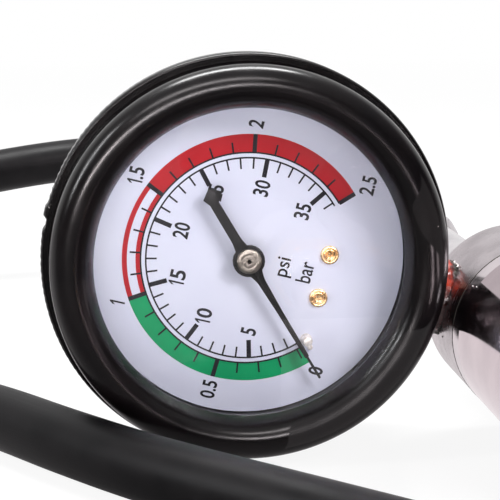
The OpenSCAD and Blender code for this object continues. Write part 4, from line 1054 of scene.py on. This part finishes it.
# %% Window finish
window_glass, tree, shader, where = blank("window_glass")
shader.inputs["Base Color"].default_value = (1, 1, 1, 1)
shader.inputs["Transmission Weight"].default_value = 1
shader.inputs["IOR"].default_value = 1.45
tree.links.new(spread(tree, noise(tree, where, 90, 5), 0.45, 0.75, 0, 0.035), shader.inputs["Roughness"])
rays = tree.nodes.new("ShaderNodeLightPath")
through = sum_of(tree, "MAXIMUM", rays.outputs["Is Shadow Ray"], rays.outputs["Is Diffuse Ray"])
clear = add(tree, "ShaderNodeBsdfTransparent", (0.97, 0.98, 1, 1))
glass = add(tree, "ShaderNodeMixShader", through, shader.outputs[0], clear.outputs[0])
tree.links.new(glass.outputs[0], tree.nodes["Material Output"].inputs["Surface"])

# %% [markdown]
# ## Putting finishes on
# Solids of the imported part keep their mesh and only get a finish. New pieces ride on the body
# that they move with and hide the solid they stand for.

# %% Finishes on the solids
SOLID_FINISHES = {
    case_enamel: ["gauge_case", "bezel_ring"],
    seal_rubber: ["blowout_plug", "lens_gasket", "barrel_seal", "cup_seal", "valve_seal", "coupler_seal"],
    steel: ["case_screws", "movement_screws", "cup_washer", "piston_nut", "handle_screw", "check_ball",
            "coupler_balls", "coupler_ring"],
    window_glass: ["gauge_lens"],
    dial_white: ["dial_plate"],
    brass: ["pinion", "hairspring", "sector_gear", "link", "base_plate", "top_plate", "movement_pillars",
            "bourdon_tube", "tube_tip", "rod_bush"],
    smeared_brass: ["gauge_socket"],
    chrome_head: ["pump_head"],
    chrome_barrel: ["pump_barrel", "piston_rod"],
    aluminium: ["piston"],
    grip_plastic: ["handle_plug"],
}


def dressed(piece, material):
    piece.data.materials.clear()
    piece.data.materials.append(material)


for material, names in SOLID_FINISHES.items():
    for name in names:
        dressed(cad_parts[name], material)
print("solids with a finish:", sum(len(names) for names in SOLID_FINISHES.values()))

# %% [markdown]
# Each new piece is listed with its finish, the body it rides on, its slot and the solids it
# stands for.

# %% Finishes and bodies of the new pieces
NEW_PIECES = [  # piece, finish, body, slot, solids it stands for
    (boot, boot_rubber, "tester", "boot_rubber", ["rubber_boot"]),
    (print_red, ink_red, "tester", "dial_white", []),
    (print_green, ink_green, "tester", "dial_white", []),
    (print_black, ink_black, "tester", "dial_white", []),
    (pointer_blade, pointer_paint, "pointer_arbor", "pointer_black", ["pointer"]),
    (hub_cap, hub_steel, "pointer_arbor", "bright_steel", ["pointer_cap"]),
    (dial_screw_pair, screw_brass, "tester", "brass", ["dial_screws"]),
    (stop_peg, peg_steel, "tester", "bright_steel", ["stop_pin"]),
    (sealant_bead, sealant, "tester", "red_sealant", ["thread_sealant"]),
    (stem_grime, grime, "tester", "red_sealant", []),
    (thread_chips, plate_chips, "tester", "bright_steel", []),
    (seam_dirt, grime, "tester", "seal_rubber", []),
    (flex_hose, hose_rubber, "tester", "hose_rubber", ["hose"]),
    (long_nipple, chrome_fitting, "tester", "chrome", ["hose_nipple"]),
    (head_crimp, chrome_fitting, "tester", "chrome", ["head_ferrule"]),
    (coupler_crimp, chrome_fitting, "tester", "chrome", ["coupler_ferrule"]),
    (release_body, chrome_fitting, "tester", "chrome", ["valve_body"]),
    (release_knob, knob_plastic, "release_button", "button_red", ["valve_button"]),
    (coupler_shell, coupler_brass, "tester", "brass", ["coupler_body"]),
    (coupler_collar, collar_steel, "sleeve", "bright_steel", ["coupler_sleeve"]),
    (end_cap, cap_plastic, "tester", "cap_plastic", ["barrel_cap"]),
    (t_grip, grip_plastic, "handle", "handle_plastic", ["t_handle"]),
    (check_coil, spring_wire, "tester", "spring_steel", ["check_spring"]),
    (release_coil, spring_wire, "tester", "spring_steel", ["valve_spring"]),
    (collar_coil, spring_wire, "tester", "spring_steel", ["coupler_spring"]),
]
for piece, material, body, slot, solids in NEW_PIECES:
    dressed(piece, material)
    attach(piece, body)
    if solids:
        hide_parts(*solids)
for coil, (name, place, r, wire, start, end, turns, joint, travel) in zip(coils, COILS):
    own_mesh(coil)
print("new pieces:", len(NEW_PIECES))

# %% [markdown]
# ## The table and the room
# The tool lies on a plain white table in a white room. To the camera both are white, and the
# table keeps the object's shadow. What the metal and the rubber mirror is chosen apart, as a
# photographer does with dark and pale boards: the far wall, the ceiling and the table behind
# the dial are pale, and the side of the camera is dark. Matt surfaces get an even, weak light.

# %% Table and room
SWEEP_FRONT, SWEEP_BACK = -0.98, -0.91
DIM, PALE = 0.05, 0.84
AMBIENT = 0.42
table = started("table", bpy.ops.mesh.primitive_plane_add, size=8, location=(0, 1, 0))
table_white, tree, shader, where = blank("table_white")
tree.links.new(mixed(tree, noise(tree, where, 3), rgb(250, 250, 250), rgb(252, 251, 251)),
               shader.inputs["Base Color"])
shader.inputs["Roughness"].default_value = 0.8
rays = tree.nodes.new("ShaderNodeLightPath")
lift = add(tree, "ShaderNodeEmission", (1, 1, 1, 1), 1.0)
depth = add(tree, "ShaderNodeSeparateXYZ", where).outputs[1]
lit = add(tree, "ShaderNodeMixShader", sum_of(tree, "MULTIPLY", rays.outputs["Is Camera Ray"],
                                              spread(tree, depth, -0.7, 0.2, 0.9, 1)),
          shader.outputs[0], lift.outputs[0])
mirrored = add(tree, "ShaderNodeEmission", (1, 0.955, 0.97, 1),
               spread(tree, depth, SWEEP_FRONT, SWEEP_BACK, DIM, PALE))
both = add(tree, "ShaderNodeMixShader", sum_of(tree, "MULTIPLY", rays.outputs["Is Glossy Ray"], 0.9),
           lit.outputs[0], mirrored.outputs[0])
tree.links.new(both.outputs[0], tree.nodes["Material Output"].inputs["Surface"])
dressed(table, table_white)

world = bpy.data.worlds.new("white_room")
bpy.context.scene.world = world
world.use_nodes = True
tree = world.node_tree
rays = tree.nodes.new("ShaderNodeLightPath")
toward = add(tree, "ShaderNodeSeparateXYZ", tree.nodes.new("ShaderNodeTexCoord").outputs["Generated"])
far_wall = spread(tree, toward.outputs[1], 0.08, 0.5, DIM, 1)
ceiling = spread(tree, toward.outputs[2], 0.35, 0.9, DIM, 0.75)
mirrored = sum_of(tree, "MULTIPLY", rays.outputs["Is Glossy Ray"],
                  sum_of(tree, "MAXIMUM", far_wall, ceiling))
seen = sum_of(tree, "MAXIMUM", rays.outputs["Is Camera Ray"], rays.outputs["Is Transmission Ray"])
soft = sum_of(tree, "MULTIPLY", rays.outputs["Is Diffuse Ray"], AMBIENT)
room = tree.nodes["Background"]
room.inputs["Color"].default_value = (1, 1, 1, 1)
tree.links.new(sum_of(tree, "MAXIMUM", seen, sum_of(tree, "MAXIMUM", mirrored, soft)),
               room.inputs["Strength"])

# %% [markdown]
# ## The lamps
# A broad key from the upper right throws the rim's soft shadow on the dial, and only matt
# surfaces see it. A strip at the left and a bar above light everything. Three narrow lamps are
# seen by glossy surfaces alone: they draw the streaks on the boot's roll, and the dial, which
# they would bleach, takes no notice of them.

# %% Lamps
LAMPS = [  # name, place from the dial in metres, width, height, tilt, watts, colour, what it shows on
    ("key_upper_right", (0.42, -0.5, 0.45), 0.32, 0.32, 0, 4.7, (1, 0.98, 0.97), "matt"),
    ("strip_left", (-0.6, -0.16, 0.34), 0.05, 0.32, 0, 2.4, (0.97, 0.98, 1), "both"),
    ("bar_above", (0, 0.22, 0.64), 0.5, 0.14, 0, 7, (1, 1, 1), "both"),
    ("box_above_front", (-0.1, -0.45, 0.5), 0.5, 0.1, 0, 2.6, (1, 0.94, 0.95), "gloss"),
    ("slit_front_left", (-0.26, -0.58, 0.115), 0.165, 0.035, 31, 1.9, (1, 0.92, 0.93), "gloss"),
    ("slit_front_top", (-0.05, -0.76, 0.2), 0.36, 0.05, 0, 3.2, (1, 0.93, 0.95), "gloss"),
]
for name, offset, wide, tall, tilt, watts, colour, shows_on in LAMPS:
    bpy.ops.object.light_add(type="AREA", location=GAUGE_AT + Vector(offset))
    lamp = bpy.context.object
    lamp.name = name
    lamp.data.shape = "RECTANGLE"
    lamp.data.size, lamp.data.size_y = wide, tall
    lamp.data.energy = watts
    lamp.data.color = colour
    lamp.visible_glossy = shows_on != "matt"
    lamp.visible_diffuse = shows_on != "gloss"
    lamp.rotation_euler = (-Vector(offset)).to_track_quat("-Z", "Y").to_euler()
    lamp.rotation_euler.rotate_axis("Z", math.radians(tilt))
print("lamps:", len(LAMPS))

# %% [markdown]
# The chrome barrel mirrors the boot beside it. In the picture that dark band is narrow, because
# pale things stood close by and covered the rest. Two small cards in front of the boot do the
# same: only mirrors see them, so neither the camera nor the dial takes notice of them.

# %% Cards beside the barrel
CARD_Y = 0.0518
CARDS = [  # name, middle x and z, width, height, tilt in degrees, brightness
    ("card_low", -0.0103, 0.0136, 0.0395, 0.0266, 0, 0.95),
    ("card_high", 0.0068, 0.0431, 0.032, 0.012, 37, 0.66),
]
for name, x, z, wide, tall, tilt, bright in CARDS:
    card = started(name, bpy.ops.mesh.primitive_plane_add, size=1)
    card.data.transform(Matrix.Translation((x, CARD_Y, z)) @ turn_by(tilt, "Y")
                        @ turn_by(90, "X") @ Matrix.Diagonal((wide, tall, 1, 1)))
    paper, tree, shader, where = blank(name + "_paper")
    tint = mixed(tree, noise(tree, where, 60), (1, 0.93, 0.95, 1), (1, 0.95, 0.96, 1))
    glow = add(tree, "ShaderNodeEmission", tint, bright)
    tree.links.new(glow.outputs[0], tree.nodes["Material Output"].inputs["Surface"])
    dressed(card, paper)
    card.visible_camera = card.visible_diffuse = card.visible_transmission = card.visible_shadow = False

# %% [markdown]
# ## Finish
# The picture keeps its colours as they were written.

# %% Finish
bpy.context.scene.view_settings.view_transform = "Standard"
